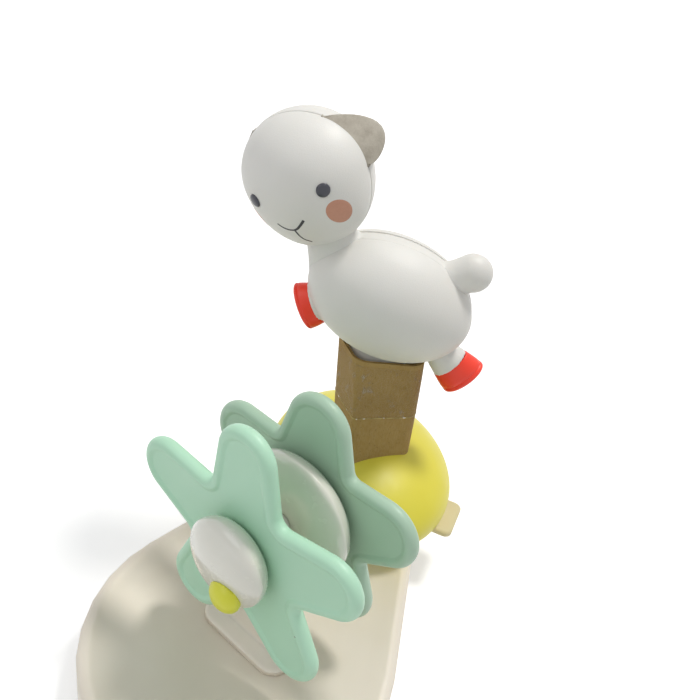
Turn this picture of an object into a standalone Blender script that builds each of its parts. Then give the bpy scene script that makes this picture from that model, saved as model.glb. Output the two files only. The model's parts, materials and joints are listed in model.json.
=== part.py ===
"""Baby activity tray with a rocking lamb on a yellow base and a pair of spinning flowers.

Metres, +Z up. The origin is on the axis of the lamb's post, on the surface that the feet stand on.
X runs along the lamb from its chest to its tail, and -Y is the side that the child sits on.
"""
import math

import bmesh
import bpy
from mathutils import Matrix, Vector

# Clearances and shared overruns
gap = 0.0003
run_gap = 0.0003
overrun = 0.002

# Tray
deck_height = 0.030
foot_height = 0.003
tray_split = 0.014
tray_wall = 0.0026
tray_edge_round = 0.004
tray_lip_width = 0.006
tray_lip_drop = 0.0014
pod_radius = 0.040
bay_radius = 0.075
bay_x = -0.0412
bay_y = -0.110
tray_arc_points = 20
base_wall = 0.0026
foot_radius = 0.0085
foot_round = 0.001
foot_inset = 0.019
bay_foot_angles = [math.radians(angle) for angle in (-160, -90, -20)]
pod_foot_angles = [math.radians(angle) for angle in (-5, 140)]
screw_angles = [math.radians(angle) for angle in (-125, -55, 20, 130)]
boss_radius = 0.0045
screw_head_radius = 0.0028
screw_head_height = 0.0014
screw_shank_radius = 0.0013
screw_length = 0.012

# Yellow base of the lamb station, an egg with an oval plan
bun_long_radius = 0.0580
bun_short_radius = 0.0502
bun_turn = math.radians(-58.4)
bun_half_height = 0.0290
bun_centre_height = 0.0195
bun_wall = 0.0026
bun_skirt_height = 0.0015
bun_plate_thickness = 0.0026
bun_foot_radius = 0.031
bun_crown = bun_centre_height + bun_half_height
socket_radius = 0.011
socket_height = 0.026

# Release tab
latch_azimuth = math.radians(-15.4)
latch_reach = 0.0618
latch_half_width = 0.013
latch_inner_reach = 0.022
latch_bottom = 0.0050
latch_thickness = 0.0044
latch_corner = 0.0042
latch_round = 0.0012
latch_travel = 0.0040
latch_lug_width = 0.0020
latch_lug_length = 0.0030
rail_width = 0.0022
rail_height = 0.0060
rail_setback = 0.0010
rail_stop_length = 0.0020

# Post and spring under the lamb; the post's top is measured from the crown of the yellow base
post_radius = 0.0054
post_rise = 0.0240
post_top = bun_crown + post_rise
spring_seat_depth = 0.0012
spring_length = 0.0190
spring_radius = 0.0070
spring_wire_radius = 0.0009
spring_turns = 5
spring_points_per_turn = 9

# Lamb's body, an egg that tips down towards the tail
body_half_length = 0.0423
body_half_height = 0.0309
body_half_depth = 0.0280
body_x = -0.0039
body_tilt = math.radians(16.7)
core_half_width = 0.0040
core_setback = 0.0004
shell_wall = 0.0022
shell_edge_round = 0.0006
body_segments = 36

# Collar between the spring and the belly
collar_height = 0.0108
collar_half_length = 0.0150
collar_half_depth = 0.0104
collar_step = 0.0012
plug_radius = 0.0054
collar_bottom = post_top + spring_length
belly_low = collar_bottom + collar_height
body_drop = math.hypot(body_half_length * math.sin(body_tilt), body_half_height * math.cos(body_tilt))
body_height = belly_low + body_drop

# Cardboard sleeve round the post, with four panels that start at the corner next to the flowers
sleeve_wall = 0.0014
sleeve_rim_rise = 0.0018
sleeve_rim_fall = 0.0016
sleeve_rim_x = -0.0140
sleeve_rim_y = -0.0168
sleeve_rim_width = 0.0402
sleeve_rim_depth = 0.0298
sleeve_rim_front_turn = math.radians(14)
sleeve_rim_side_turn = math.radians(120)
sleeve_rim_rounds = (0.0085, 0.0090, 0.0070, 0.0070)
sleeve_foot_drop = 0.0085
sleeve_foot_x = -0.0051
sleeve_foot_y = -0.0273
sleeve_foot_width = 0.0352
sleeve_foot_depth = 0.0305
sleeve_foot_front_turn = math.radians(28.8)
sleeve_foot_side_turn = math.radians(119.4)
sleeve_foot_rounds = (0.0024, 0.0050, 0.0050, 0.0050)
sleeve_levels = 4
sleeve_corner_points = 5

# Legs, hooves, tail and neck: each starts at an angle round the body's outline and is buried in it
limb_half_depth = 0.0084
tip_share = 1e-6
front_leg_angle = math.radians(-137.5)
front_leg_drop = math.radians(152)
front_leg_bury = 0.0165
front_hoof_sink = 0.0015
front_leg_half_width = 0.0108
front_hoof_length = 0.0092
front_hoof_half_width = 0.0121
hind_leg_angle = math.radians(-31.4)
hind_leg_drop = math.radians(39)
hind_leg_bury = 0.0140
hind_leg_reach = 0.0088
hind_leg_half_width = 0.0104
hind_leg_root_half_width = 0.0068
hind_leg_root_share = 0.5
hind_hoof_length = 0.0124
hind_hoof_half_width = 0.0124
hoof_round = 0.0016
hoof_groove_depth = 0.0006
hoof_groove_width = 0.0009
hoof_groove_share = 0.74
tail_angle = math.radians(60.1)
tail_drop = math.radians(-32)
tail_bury = 0.0073
tail_reach = 0.0162
tail_half_width = 0.0100
tail_rings = 6
tail_round_share = 0.7
neck_angle = math.radians(153.1)
neck_lean = math.radians(27)
neck_bury = 0.0143
neck_reach = 0.0057
neck_half_width = 0.0116
neck_middle_half_width = 0.0140
neck_root_half_width = 0.0172
neck_half_depth = 0.0092
neck_rise = 0.0030

# Head, turned on the neck to face the child
head_radius = 0.0301
head_crown_height = 0.0276
head_jaw_height = 0.0293
head_seat_drop = 0.0280
head_wall = 0.0022
head_turn = math.radians(13.5)
seam_setback = 0.0018
head_segments = 34
head_rings = 14
cavity_rings = 6
neck_pin_radius = 0.0032
neck_pin_flange_radius = 0.0070
neck_pin_flange_thickness = 0.0016
neck_pin_below = 0.0100
eye_azimuth = math.radians(33.6)
eye_rise = math.radians(4)
eye_radius = 0.0033
eye_height = 0.0011
eye_rings = 3
ear_root_high = math.radians(57)
ear_root_low = math.radians(-3)
ear_sweep = math.radians(47)
ear_length = 0.0158
ear_lean = 0.0060
ear_tip_share = 2.0
ear_thickness = 0.0026
ear_edge_round = 0.0008
ear_bury = 0.0060
ear_points = 18

# Flower spinners on one axle
flower_azimuth = math.radians(33.6)
hub_x = -0.0226
hub_y = -0.0826
hub_height = 0.0714
flower_spacing = 0.0395
flower_lobes = 5
rear_tip_centre = 0.0445
rear_tip_radius = 0.0166
rear_valley_centre = 0.0454
rear_valley_radius = 0.0055
rear_spin = math.radians(92.4)
near_tip_centre = 0.0495
near_tip_radius = 0.0157
near_valley_centre = 0.0388
near_valley_radius = 0.0032
near_spin = math.radians(95.3)
tip_points = 6
valley_points = 3
petal_half_thickness = 0.0050
petal_rim_width = 0.0095
petal_flat_share = 0.35
petal_web_half = 0.0026
petal_hub_radius = 0.0095
petal_edge_steps = 3
rear_dome_radius = 0.0303
near_dome_radius = 0.0202
dome_widest = 0.0082
dome_height = 0.0178
dome_foot_share = 0.90
dome_swell_share = 0.985
dome_rings = 7
dome_segments = 32
bush_radius = 0.0046
axle_radius = 0.0028
cap_radius = 0.0080
cap_length = 0.0052
cap_round = 0.0016
cap_grip = 0.0031
near_bore_top = 0.0120
knob_radius = 0.0080
knob_length = 0.0095
knob_across = 0.0065
knob_down = 0.0100
knob_foot_share = 0.82
knob_widest_share = 0.45
knob_rings = 5
free_length = flower_spacing - petal_half_thickness - dome_height
stand_place_share = 0.587
stand_thickness_share = 0.204
stand_offset = dome_height + free_length * stand_place_share
stand_half_thickness = free_length * stand_thickness_share
stand_edge_round = 0.0010
stand_head_radius = 0.0105
stand_foot_half_width = 0.0260
stand_foot_half_depth = 0.0110
stand_foot_thickness = 0.0040
stand_foot_round = 0.0012
stand_flare_half_width = 0.0161
stand_waist_half_width = 0.0085
stand_waist_share = 0.45
stand_steps = 12
spacer_radius = 0.0052


def clear_scene():
    for item in list(bpy.data.objects):
        bpy.data.objects.remove(item, do_unlink=True)


def finish(name, colour, roughness, metallic=0.0):
    material = bpy.data.materials.new(name)
    material.use_nodes = True
    shader = material.node_tree.nodes["Principled BSDF"]
    shader.inputs["Base Color"].default_value = (*colour, 1.0)
    shader.inputs["Roughness"].default_value = roughness
    shader.inputs["Metallic"].default_value = metallic
    return material


def add_object(name, mesh, material, parent=None, place=None):
    item = bpy.data.objects.new(name, mesh)
    bpy.context.scene.collection.objects.link(item)
    if material is not None:
        mesh.materials.append(material)
    if parent is not None:
        item.parent = parent
    if place is not None:
        item.matrix_local = place
    return item


def add_empty(name, place, parent=None):
    item = bpy.data.objects.new(name, None)
    bpy.context.scene.collection.objects.link(item)
    if parent is not None:
        item.parent = parent
    item.matrix_local = place
    return item


def mesh_from(build, smooth_angle=math.radians(38)):
    """Run build on a new bmesh and return the closed, outward-facing mesh."""
    shape = bmesh.new()
    build(shape)
    bmesh.ops.recalc_face_normals(shape, faces=shape.faces)
    mesh = bpy.data.meshes.new("form")
    shape.to_mesh(mesh)
    shape.free()
    mesh.shade_smooth()
    mesh.set_sharp_from_angle(angle=smooth_angle)
    return mesh


def stack_mesh(loops, closed=False):
    """Join loops of equal count side by side, with a flat cap or a pole at each end, or into a ring."""
    def build(shape):
        rows = [[shape.verts.new(point) for point in loop] for loop in loops]
        pairs = list(zip(rows, rows[1:]))
        if closed:
            pairs.append((rows[-1], rows[0]))
        for low, high in pairs:
            count = max(len(low), len(high))
            for index in range(count):
                after = (index + 1) % count
                corners = [low[index % len(low)], low[after % len(low)]]
                corners += [high[after % len(high)], high[index % len(high)]]
                distinct = list(dict.fromkeys(corners))
                if len(distinct) > 2:
                    shape.faces.new(distinct)
        if not closed:
            for row in (rows[0], rows[-1]):
                if len(row) > 2:
                    shape.faces.new(row)
    return mesh_from(build)


def circle(radius, height, count):
    if radius == 0:
        return [Vector((0, 0, height))]
    turn = 2 * math.pi / count
    return [Vector((radius * math.cos(turn * k), radius * math.sin(turn * k), height)) for k in range(count)]


def turned(profile, count, closed=False):
    """Turn a profile of (radius, height) about Z."""
    return stack_mesh([circle(radius, height, count) for radius, height in profile], closed)


def cut(item, cutter, operation="DIFFERENCE"):
    change = item.modifiers.new(operation.lower(), "BOOLEAN")
    change.operation = operation
    change.solver = "EXACT"
    change.object = cutter
    cutter.hide_render = True
    cutter.display_type = "WIRE"


def box_mesh(low, high):
    def build(shape):
        bmesh.ops.create_cube(shape, size=1)
        size = Vector(high) - Vector(low)
        middle = (Vector(high) + Vector(low)) / 2
        bmesh.ops.scale(shape, vec=size, verts=shape.verts)
        bmesh.ops.translate(shape, vec=middle, verts=shape.verts)
    return mesh_from(build)


def arc(centre_x, centre_y, radius, start, end, count):
    step = (end - start) / (count - 1)
    return [(centre_x + radius * math.cos(start + step * k), centre_y + radius * math.sin(start + step * k))
            for k in range(count)]


def ball_profile(radius, low_height, high_height, low_cut, count):
    """Profile of an egg on its axis, from a flat seat at -low_cut up to the crown."""
    start = -math.asin(low_cut / low_height)
    points = []
    for k in range(count + 1):
        angle = start + (math.pi / 2 - start) * k / count
        half = high_height if angle > 0 else low_height
        points.append((radius * math.cos(angle) if k < count else 0, half * math.sin(angle)))
    return points


# Tray

def tray_outline(inset, height):
    """Hull of the round pod under the lamb and the wider bay under the flowers."""
    span = math.hypot(bay_x, bay_y)
    heading = math.atan2(bay_y, bay_x)
    spread = math.acos((pod_radius - bay_radius) / span)
    bay = arc(bay_x, bay_y, bay_radius - inset, heading - spread, heading + spread, tray_arc_points)
    pod = arc(0, 0, pod_radius - inset, heading + spread, heading - spread + 2 * math.pi,
              tray_arc_points // 2)
    return [Vector((x, y, height)) for x, y in bay + pod]


def rounded_edge(radius, height, steps=3):
    """Insets and heights of a quarter round that ends flat on top."""
    turn = math.pi / 2 / steps
    angles = [turn * k for k in range(steps + 1)]
    return [(radius * (1 - math.cos(angle)), height - radius * (1 - math.sin(angle))) for angle in angles]


def foot_places():
    bay = [(bay_x, bay_y, bay_radius - foot_inset, angle) for angle in bay_foot_angles]
    pod = [(0, 0, pod_radius - foot_inset, angle) for angle in pod_foot_angles]
    rim = [(x + reach * math.cos(angle), y + reach * math.sin(angle)) for x, y, reach, angle in bay + pod]
    return rim + [(0, 0)]


def screw_places():
    reach = bay_radius - foot_inset
    return [(bay_x + reach * math.cos(angle), bay_y + reach * math.sin(angle)) for angle in screw_angles]


def make_tray(cream, rubber, steel):
    outer = rounded_edge(tray_edge_round, deck_height)
    under = deck_height - tray_lip_drop - tray_wall
    rings = [(tray_lip_width + tray_lip_drop, under), (tray_wall, under)]
    rings += [(tray_wall, tray_split), (0, tray_split)]
    rings += outer
    rings += [(tray_lip_width, deck_height), (tray_lip_width + tray_lip_drop, deck_height - tray_lip_drop)]
    top = add_object("tray_top", stack_mesh([tray_outline(inset, z) for inset, z in rings]), cream)

    inner = tray_wall + base_wall
    floor_top = foot_height + base_wall
    edge = rounded_edge(tray_edge_round, deck_height)
    edge = [(radius, foot_height + (deck_height - height)) for radius, height in edge]
    rings = [(inset, z) for inset, z in reversed(edge)] + [(0, tray_split - gap), (base_wall, tray_split - gap)]
    rings += [(base_wall, floor_top + tray_edge_round), (inner, floor_top)]
    base = add_object("tray_base", stack_mesh([tray_outline(inset, z) for inset, z in rings]), cream)

    boss_top = deck_height - tray_lip_drop - tray_wall
    for index, (x, y) in enumerate(screw_places()):
        spot = Matrix.Translation((x, y, 0))
        boss = add_object(f"cut_boss_{index}", turned(
            [(0, floor_top + gap), (boss_radius, floor_top + gap), (boss_radius, boss_top + overrun / 2),
             (0, boss_top + overrun / 2)], 20), None, place=spot)
        cut(top, boss, "UNION")
        bore = add_object(f"cut_boss_bore_{index}", turned(
            [(0, 0), (screw_shank_radius + gap, 0), (screw_shank_radius + gap, foot_height + screw_length + gap),
             (0, foot_height + screw_length + gap)], 12), None, place=spot)
        cut(top, bore)
        seat = add_object(f"cut_screw_seat_{index}", turned(
            [(0, 0), (screw_head_radius + gap, 0), (screw_head_radius + gap, foot_height + screw_head_height),
             (screw_shank_radius + gap, foot_height + screw_head_height),
             (screw_shank_radius + gap, floor_top + overrun), (0, floor_top + overrun)], 16), None, place=spot)
        cut(base, seat)
    head_bottom = foot_height
    head_top = foot_height + screw_head_height - gap
    tip = foot_height + screw_length
    screw = [(0, head_bottom), (screw_head_radius, head_bottom), (screw_head_radius, head_top),
             (screw_shank_radius, head_top), (screw_shank_radius, tip - screw_shank_radius), (0, tip)]
    for index, (x, y) in enumerate(screw_places()):
        add_object(f"tray_screw_{index + 1}", turned(screw, 12), steel, place=Matrix.Translation((x, y, 0)))
    foot = [(0, 0), (foot_radius - foot_round, 0), (foot_radius, foot_round), (foot_radius, foot_height - gap),
            (0, foot_height - gap)]
    for index, (x, y) in enumerate(foot_places()):
        add_object(f"foot_{index + 1}", turned(foot, 18), rubber, place=Matrix.Translation((x, y, 0)))


# Yellow base and its release tab

def level_oval(x_half, y_half, height, count):
    turn = 2 * math.pi / count
    return [Vector((x_half * math.cos(turn * k), y_half * math.sin(turn * k), height)) for k in range(count)]


def bun_rows(inset, low, count, segments):
    """Level loops of the yellow base's egg from a height up to its crown, inset from its surface."""
    half = bun_half_height - inset
    start = math.asin((low - bun_centre_height) / half)
    rows = []
    for k in range(count):
        angle = start + (math.pi / 2 - start) * k / count
        rows.append(level_oval((bun_long_radius - inset) * math.cos(angle), (bun_short_radius - inset) * math.cos(angle),
                               bun_centre_height + half * math.sin(angle), segments))
    return rows + [[Vector((0, 0, bun_centre_height + half))]]


def make_base_station(yellow, cream, grey):
    level = Matrix.Translation((0, 0, deck_height))
    aligned = level @ Matrix.Rotation(bun_turn, 4, "Z")
    hole = post_radius + gap
    outer = bun_rows(0.0, bun_skirt_height, 11, 40)
    inner = bun_rows(bun_wall, bun_skirt_height, 5, 40)
    cover = add_object("bun_cover", stack_mesh(outer[::-1] + inner), yellow, place=aligned)
    turn = Matrix.Rotation(latch_azimuth, 4, "Z")
    slot = add_object("cut_latch_slot", box_mesh(
        (latch_inner_reach, -latch_half_width - gap, latch_bottom - gap),
        (latch_reach + overrun, latch_half_width + gap, latch_bottom + latch_thickness + gap)),
        None, place=level @ turn)
    cut(cover, slot)
    way = add_object("cut_post_way", turned(
        [(0, socket_height), (hole, socket_height), (hole, bun_crown + overrun), (0, bun_crown + overrun)], 24),
        None,
        place=level)
    cut(cover, way)

    plate_top = bun_skirt_height + bun_plate_thickness
    edge = bun_rows(bun_wall + gap, bun_skirt_height, 1, 40)[0]
    foot_low = gap - tray_lip_drop
    plate = add_object("bun_base", stack_mesh([
        circle(bun_foot_radius, foot_low, 40), circle(bun_foot_radius, bun_skirt_height, 40), edge,
        [point + Vector((0, 0, bun_plate_thickness)) for point in edge]]), cream, place=aligned)
    socket = add_object("cut_socket", turned(
        [(0, bun_skirt_height), (socket_radius + overrun, bun_skirt_height), (socket_radius + overrun, plate_top),
         (socket_radius, plate_top + overrun), (socket_radius, socket_height), (0, socket_height)], 32),
        None, place=level)
    cut(plate, socket, "UNION")
    bore = add_object("cut_socket_bore", turned(
        [(0, plate_top), (hole, plate_top), (hole, socket_height + overrun), (0, socket_height + overrun)], 24),
        None,
        place=level)
    cut(plate, bore)
    rail_low = bun_skirt_height + bun_plate_thickness / 2
    for side in (-1, 1):
        near = latch_half_width + latch_lug_width + gap
        start = latch_inner_reach - rail_setback
        stop = latch_inner_reach + latch_lug_length + latch_travel + gap
        end = stop + rail_stop_length
        spans = ((start, near, end, near + rail_width), (stop, latch_half_width + gap, end, near + rail_width / 2))
        for part, (x_low, y_low, x_high, y_high) in enumerate(spans):
            y_pair = sorted((side * y_low, side * y_high))
            rail = add_object(f"cut_rail_{side + 1}_{part}", box_mesh(
                (x_low, y_pair[0], rail_low), (x_high, y_pair[1], rail_low + rail_height)),
                None, place=level @ turn)
            cut(plate, rail, "UNION")

    slide = add_empty("latch_axis", level @ turn)

    def tab_outline(inset, height):
        reach, half, corner = latch_reach - inset, latch_half_width - inset, latch_corner - inset
        start, lug = latch_inner_reach + inset, half + latch_lug_width
        shoulder = latch_inner_reach + latch_lug_length - inset
        low = [(shoulder, half), (shoulder, lug), (start, lug)]
        low += [(start, -lug), (shoulder, -lug), (shoulder, -half)]
        low += arc(reach - corner, -half + corner, corner, -math.pi / 2, 0, 5)
        low += arc(reach - corner, half - corner, corner, 0, math.pi / 2, 5)
        return [Vector((x, y, height)) for x, y in low]

    top = latch_bottom + latch_thickness
    rings = [(latch_round, latch_bottom), (0, latch_bottom + latch_round)]
    rings += [(0, top - latch_round), (latch_round, top)]
    add_object("latch_tab", stack_mesh([tab_outline(inset, z) for inset, z in rings]), cream, parent=slide)

    post_low = bun_skirt_height + bun_plate_thickness + gap
    profile = [(0, post_low), (post_radius, post_low), (post_radius, post_top), (0, post_top)]
    add_object("stalk_post", turned(profile, 24), grey, place=level)


# Cardboard sleeve

def rounded_outline(corners, radii, count):
    """Closed outline of straight sides whose corners are arcs of the given radii."""
    points = []
    for index, (corner, radius) in enumerate(zip(corners, radii)):
        before = (corners[index - 1] - corner).normalized()
        after = (corners[(index + 1) % len(corners)] - corner).normalized()
        half = before.angle(after) / 2
        centre = corner + (before + after).normalized() * (radius / math.sin(half))
        first = (corner + before * (radius / math.tan(half)) - centre).normalized()
        last = (corner + after * (radius / math.tan(half)) - centre).normalized()
        points += [centre + radius * first.slerp(last, k / (count - 1)) for k in range(count)]
    return points


def sleeve_loop(share, wall):
    """Outline of the sleeve at a share of its height, from the foot at 0 to the rim at 1."""
    def between(low, high):
        return low + (high - low) * share

    width = between(sleeve_foot_width, sleeve_rim_width)
    depth = between(sleeve_foot_depth, sleeve_rim_depth)
    front_turn = between(sleeve_foot_front_turn, sleeve_rim_front_turn)
    side_turn = between(sleeve_foot_side_turn, sleeve_rim_side_turn)
    foot = bun_crown - sleeve_foot_drop
    height = between(foot, belly_low + sleeve_rim_rise)
    front = Vector((math.cos(front_turn), math.sin(front_turn), 0))
    side = Vector((math.cos(side_turn), math.sin(side_turn), 0))
    offset = wall / math.sin(side_turn - front_turn)
    first = Vector((between(sleeve_foot_x, sleeve_rim_x), between(sleeve_foot_y, sleeve_rim_y), height))
    first += (front + side) * offset
    along, deep = front * (width - 2 * offset), side * (depth - 2 * offset)
    corners = [first, first + along, first + along + deep, first + deep]
    radii = [between(low, high) - wall for low, high in zip(sleeve_foot_rounds, sleeve_rim_rounds)]
    points = rounded_outline(corners, radii, sleeve_corner_points)
    for point in points:
        point.z -= sleeve_rim_fall * share * (point.x - first.x) / width
    return points


def make_sleeve(card):
    level = Matrix.Translation((0, 0, deck_height))
    shares = [k / sleeve_levels for k in range(sleeve_levels + 1)]
    outer = [sleeve_loop(share, 0.0) for share in shares]
    inner = [sleeve_loop(share, sleeve_wall) for share in reversed(shares)]
    sleeve = add_object("packing_sleeve", stack_mesh(outer + inner, closed=True), card, place=level)
    rows = bun_rows(-gap, bun_skirt_height, 16, 48)
    dome = add_object("cut_bun_form", stack_mesh(rows), None, place=level @ Matrix.Rotation(bun_turn, 4, "Z"))
    cut(sleeve, dome)


# Spring and lamb

def coil_points():
    low = post_top - spring_seat_depth
    high = collar_bottom + spring_seat_depth
    total = spring_turns * spring_points_per_turn
    points = []
    for k in range(total + 1):
        angle = 2 * math.pi * k / spring_points_per_turn
        points.append(Vector((spring_radius * math.cos(angle), spring_radius * math.sin(angle),
                              low + (high - low) * k / total)))
    return points


def make_spring(steel, parent):
    points = [point - Vector((0, 0, post_top - spring_seat_depth)) for point in coil_points()]
    curve = bpy.data.curves.new("coil", "CURVE")
    curve.dimensions = "3D"
    curve.bevel_depth = spring_wire_radius
    curve.bevel_resolution = 1
    curve.use_fill_caps = True
    line = curve.splines.new("POLY")
    line.points.add(len(points) - 1)
    for spot, point in zip(line.points, points):
        spot.co = point.to_4d()
    item = bpy.data.objects.new("sway_spring", curve)
    bpy.context.scene.collection.objects.link(item)
    curve.materials.append(steel)
    item.parent = parent
    skip = spring_points_per_turn // 2
    least = min((a - b).length for i, a in enumerate(points) for b in points[i + skip + 1:])
    print("spring: least gap between curls", round((least - 2 * spring_wire_radius) * 1000, 2), "mm")


def oval(x_half, z_half, y, x, z, count):
    turn = 2 * math.pi / count
    return [Vector((x + x_half * math.cos(turn * k), y, z + z_half * math.sin(turn * k))) for k in range(count)]


def limb_mesh(start_x, start_z, drop, sections, count=24):
    """Sections of (distance, half width, half depth) along a line that runs down from start by drop."""
    along = Vector((math.cos(drop), 0, -math.sin(drop)))
    across = Vector((math.sin(drop), 0, math.cos(drop)))
    start = Vector((start_x, 0, start_z))
    turn = 2 * math.pi / count
    loops = []
    for distance, half_width, half_depth in sections:
        centre = start + along * distance
        if half_width == 0:
            loops.append([centre])
            continue
        loops.append([centre + across * (half_width * math.cos(turn * k))
                      + Vector((0, half_depth * math.sin(turn * k), 0))
                      for k in range(count)])
    return stack_mesh(loops)


def hoof_sections(start, length, first, last):
    """A flared cuff with a groove near its rounded end."""
    groove = start + length * hoof_groove_share
    wide = first + (last - first) * hoof_groove_share
    half = hoof_groove_width / 2
    widths = [(start, first), (groove - half, wide), (groove, wide - hoof_groove_depth), (groove + half, wide)]
    widths += [(start + height, last - inset) for inset, height in rounded_edge(hoof_round, length)]
    return [(distance, width, limb_half_depth * width / last) for distance, width in widths]


def body_loop(y, inset, count):
    """Section of the body's egg across its width, or its tip where the egg ends."""
    share = 1 - (y / (body_half_depth - inset)) ** 2
    if share < tip_share:
        return [Vector((0, y, 0))]
    across = math.sqrt(share)
    return oval((body_half_length - inset) * across, (body_half_height - inset) * across, y, 0, 0, count)


def shell_rows(side, start, inset, count):
    """Sections from the shell's edge at start out to the egg's tip on one side."""
    reach = body_half_depth - inset
    first = math.asin(start / reach)
    rows = []
    for k in range(count + 1):
        angle = first + (math.pi / 2 - first) * k / count
        rows.append(body_loop(side * reach * math.sin(angle), inset, body_segments))
    return rows


def outline_point(angle):
    """Point on the body's outline in its middle plane, from the deck below the post's axis."""
    along, up = body_half_length * math.cos(angle), body_half_height * math.sin(angle)
    return Vector((body_x + along * math.cos(body_tilt) + up * math.sin(body_tilt), 0,
                   body_height + up * math.cos(body_tilt) - along * math.sin(body_tilt)))


def limb(angle, drop, sections):
    """Limb along a line that leaves the body's outline; distances in its sections start at the outline."""
    start = outline_point(angle)
    return limb_mesh(start.x, start.z, drop, sections)


neck_drop = math.pi * 3 / 2 - neck_lean
neck_seat = outline_point(neck_angle) + neck_reach * Vector((-math.sin(neck_lean), 0, math.cos(neck_lean)))


def leg_forms(spare):
    """Front and hind leg as (name, mesh); spare is the room left round them."""
    deep = limb_half_depth + spare
    root = hind_leg_root_half_width + spare
    wide = hind_leg_half_width + spare
    front = front_leg_half_width + spare
    middle = hind_leg_reach - (hind_leg_bury + hind_leg_reach) * hind_leg_root_share
    return (
        ("front_leg", limb(front_leg_angle, front_leg_drop, [
            (-front_leg_bury, front, deep), (overrun - front_hoof_sink, front, deep)])),
        ("hind_leg", limb(hind_leg_angle, hind_leg_drop, [
            (-hind_leg_bury, root, deep), (middle, root, deep), (hind_leg_reach, wide, deep)])),
    )


def neck_and_tail(spare):
    """Neck and tail as (name, mesh); spare is the room left round them."""
    neck_deep = neck_half_depth + spare
    middle = (neck_reach - neck_bury) / 2
    tail = []
    for k in range(tail_rings + 1):
        angle = math.pi / 2 * k / tail_rings
        round_off = math.cos(angle) ** tail_round_share if k < tail_rings else 0
        tail.append(((tail_bury + tail_reach + spare) * math.sin(angle) - tail_bury,
                     (tail_half_width + spare) * round_off, (limb_half_depth + spare) * round_off))
    return (
        ("neck", limb(neck_angle, neck_drop, [
            (-neck_bury, neck_root_half_width + spare, neck_deep),
            (middle, neck_middle_half_width + spare, neck_deep),
            (neck_reach, neck_half_width + spare, neck_deep),
            (neck_reach + neck_rise, neck_half_width + spare, neck_deep)])),
        ("tail", limb(tail_angle, tail_drop, tail)),
    )


def make_body(white, orange, parent):
    local = Matrix.Translation((0, 0, -collar_bottom - spring_seat_depth))
    tilted = local @ Matrix.Translation((body_x, 0, body_height)) @ Matrix.Rotation(body_tilt, 4, "Y")
    rows = [body_loop(core_half_width * (k / 2 - 1), core_setback, body_segments) for k in range(5)]
    core = add_object("body_core", stack_mesh(rows), white, parent=parent, place=tilted)
    shells = []
    for name, side in (("body_shell_near", -1), ("body_shell_far", 1)):
        rim = core_half_width + gap
        outer = shell_rows(side, rim + shell_edge_round, 0.0, 8)
        inner = shell_rows(side, rim, shell_wall, 4)
        edge = body_loop(side * rim, shell_edge_round, body_segments)
        rows = inner[::-1] + [edge] + outer
        shells.append(add_object(name, stack_mesh(rows), white, parent=parent, place=tilted))

    front_step = gap - front_hoof_sink
    front = (front_leg_angle, front_leg_drop, hoof_sections(
        front_step, front_hoof_length, front_leg_half_width, front_hoof_half_width))
    hind = (hind_leg_angle, hind_leg_drop, hoof_sections(
        hind_leg_reach + gap, hind_hoof_length, hind_leg_half_width, hind_hoof_half_width))
    room = add_object("cut_front_hoof_room", limb(front_leg_angle, front_leg_drop, [
        (-front_hoof_sink, front_hoof_half_width + gap, limb_half_depth + gap),
        (front_hoof_length + overrun, front_hoof_half_width + gap, limb_half_depth + gap)]), None, parent=parent,
        place=local)
    for name, form in leg_forms(0.0) + neck_and_tail(0.0):
        cut(core, add_object(f"cut_{name}", form, None, parent=parent, place=local), "UNION")
    spaces = [add_object(f"cut_{name}_space", form, None, parent=parent, place=local)
              for name, form in leg_forms(gap) + neck_and_tail(gap)]
    cut(core, room)
    for shell in shells:
        for space in spaces + [room]:
            cut(shell, space)
    for name, (angle, drop, sections) in (("front_hoof", front), ("hind_hoof", hind)):
        add_object(name, limb(angle, drop, sections), orange, parent=parent, place=local)


def make_collar(white, parent):
    local = Matrix.Translation((0, 0, -collar_bottom - spring_seat_depth))
    tilted = local @ Matrix.Translation((body_x, 0, body_height)) @ Matrix.Rotation(body_tilt, 4, "Y")
    seat = collar_bottom + spring_seat_depth + spring_wire_radius + collar_step
    middle = Vector((body_x, 0, 0))
    loops = [circle(plug_radius, collar_bottom, 32), circle(plug_radius, seat, 32)]
    loops += [[middle + point for point in level_oval(collar_half_length, collar_half_depth, height, 32)]
              for height in (seat + collar_step, body_height)]
    collar = add_object("belly_collar", stack_mesh(loops), white, parent=parent, place=local)
    rows = []
    for k in range(17):
        angle = -math.pi / 2 + math.pi * k / 16
        rows.append(body_loop((body_half_depth + gap) * math.sin(angle), -gap, 40))
    belly = add_object("cut_belly_form", stack_mesh(rows), None, parent=parent, place=tilted)
    cut(collar, belly)


def head_surface(azimuth, rise, reach=0.0):
    """Point and outward direction on the head, azimuth from the face towards local +X."""
    way = Vector((math.sin(azimuth) * math.cos(rise), -math.cos(azimuth) * math.cos(rise), math.sin(rise)))
    return way * (head_radius + reach), way


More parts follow.
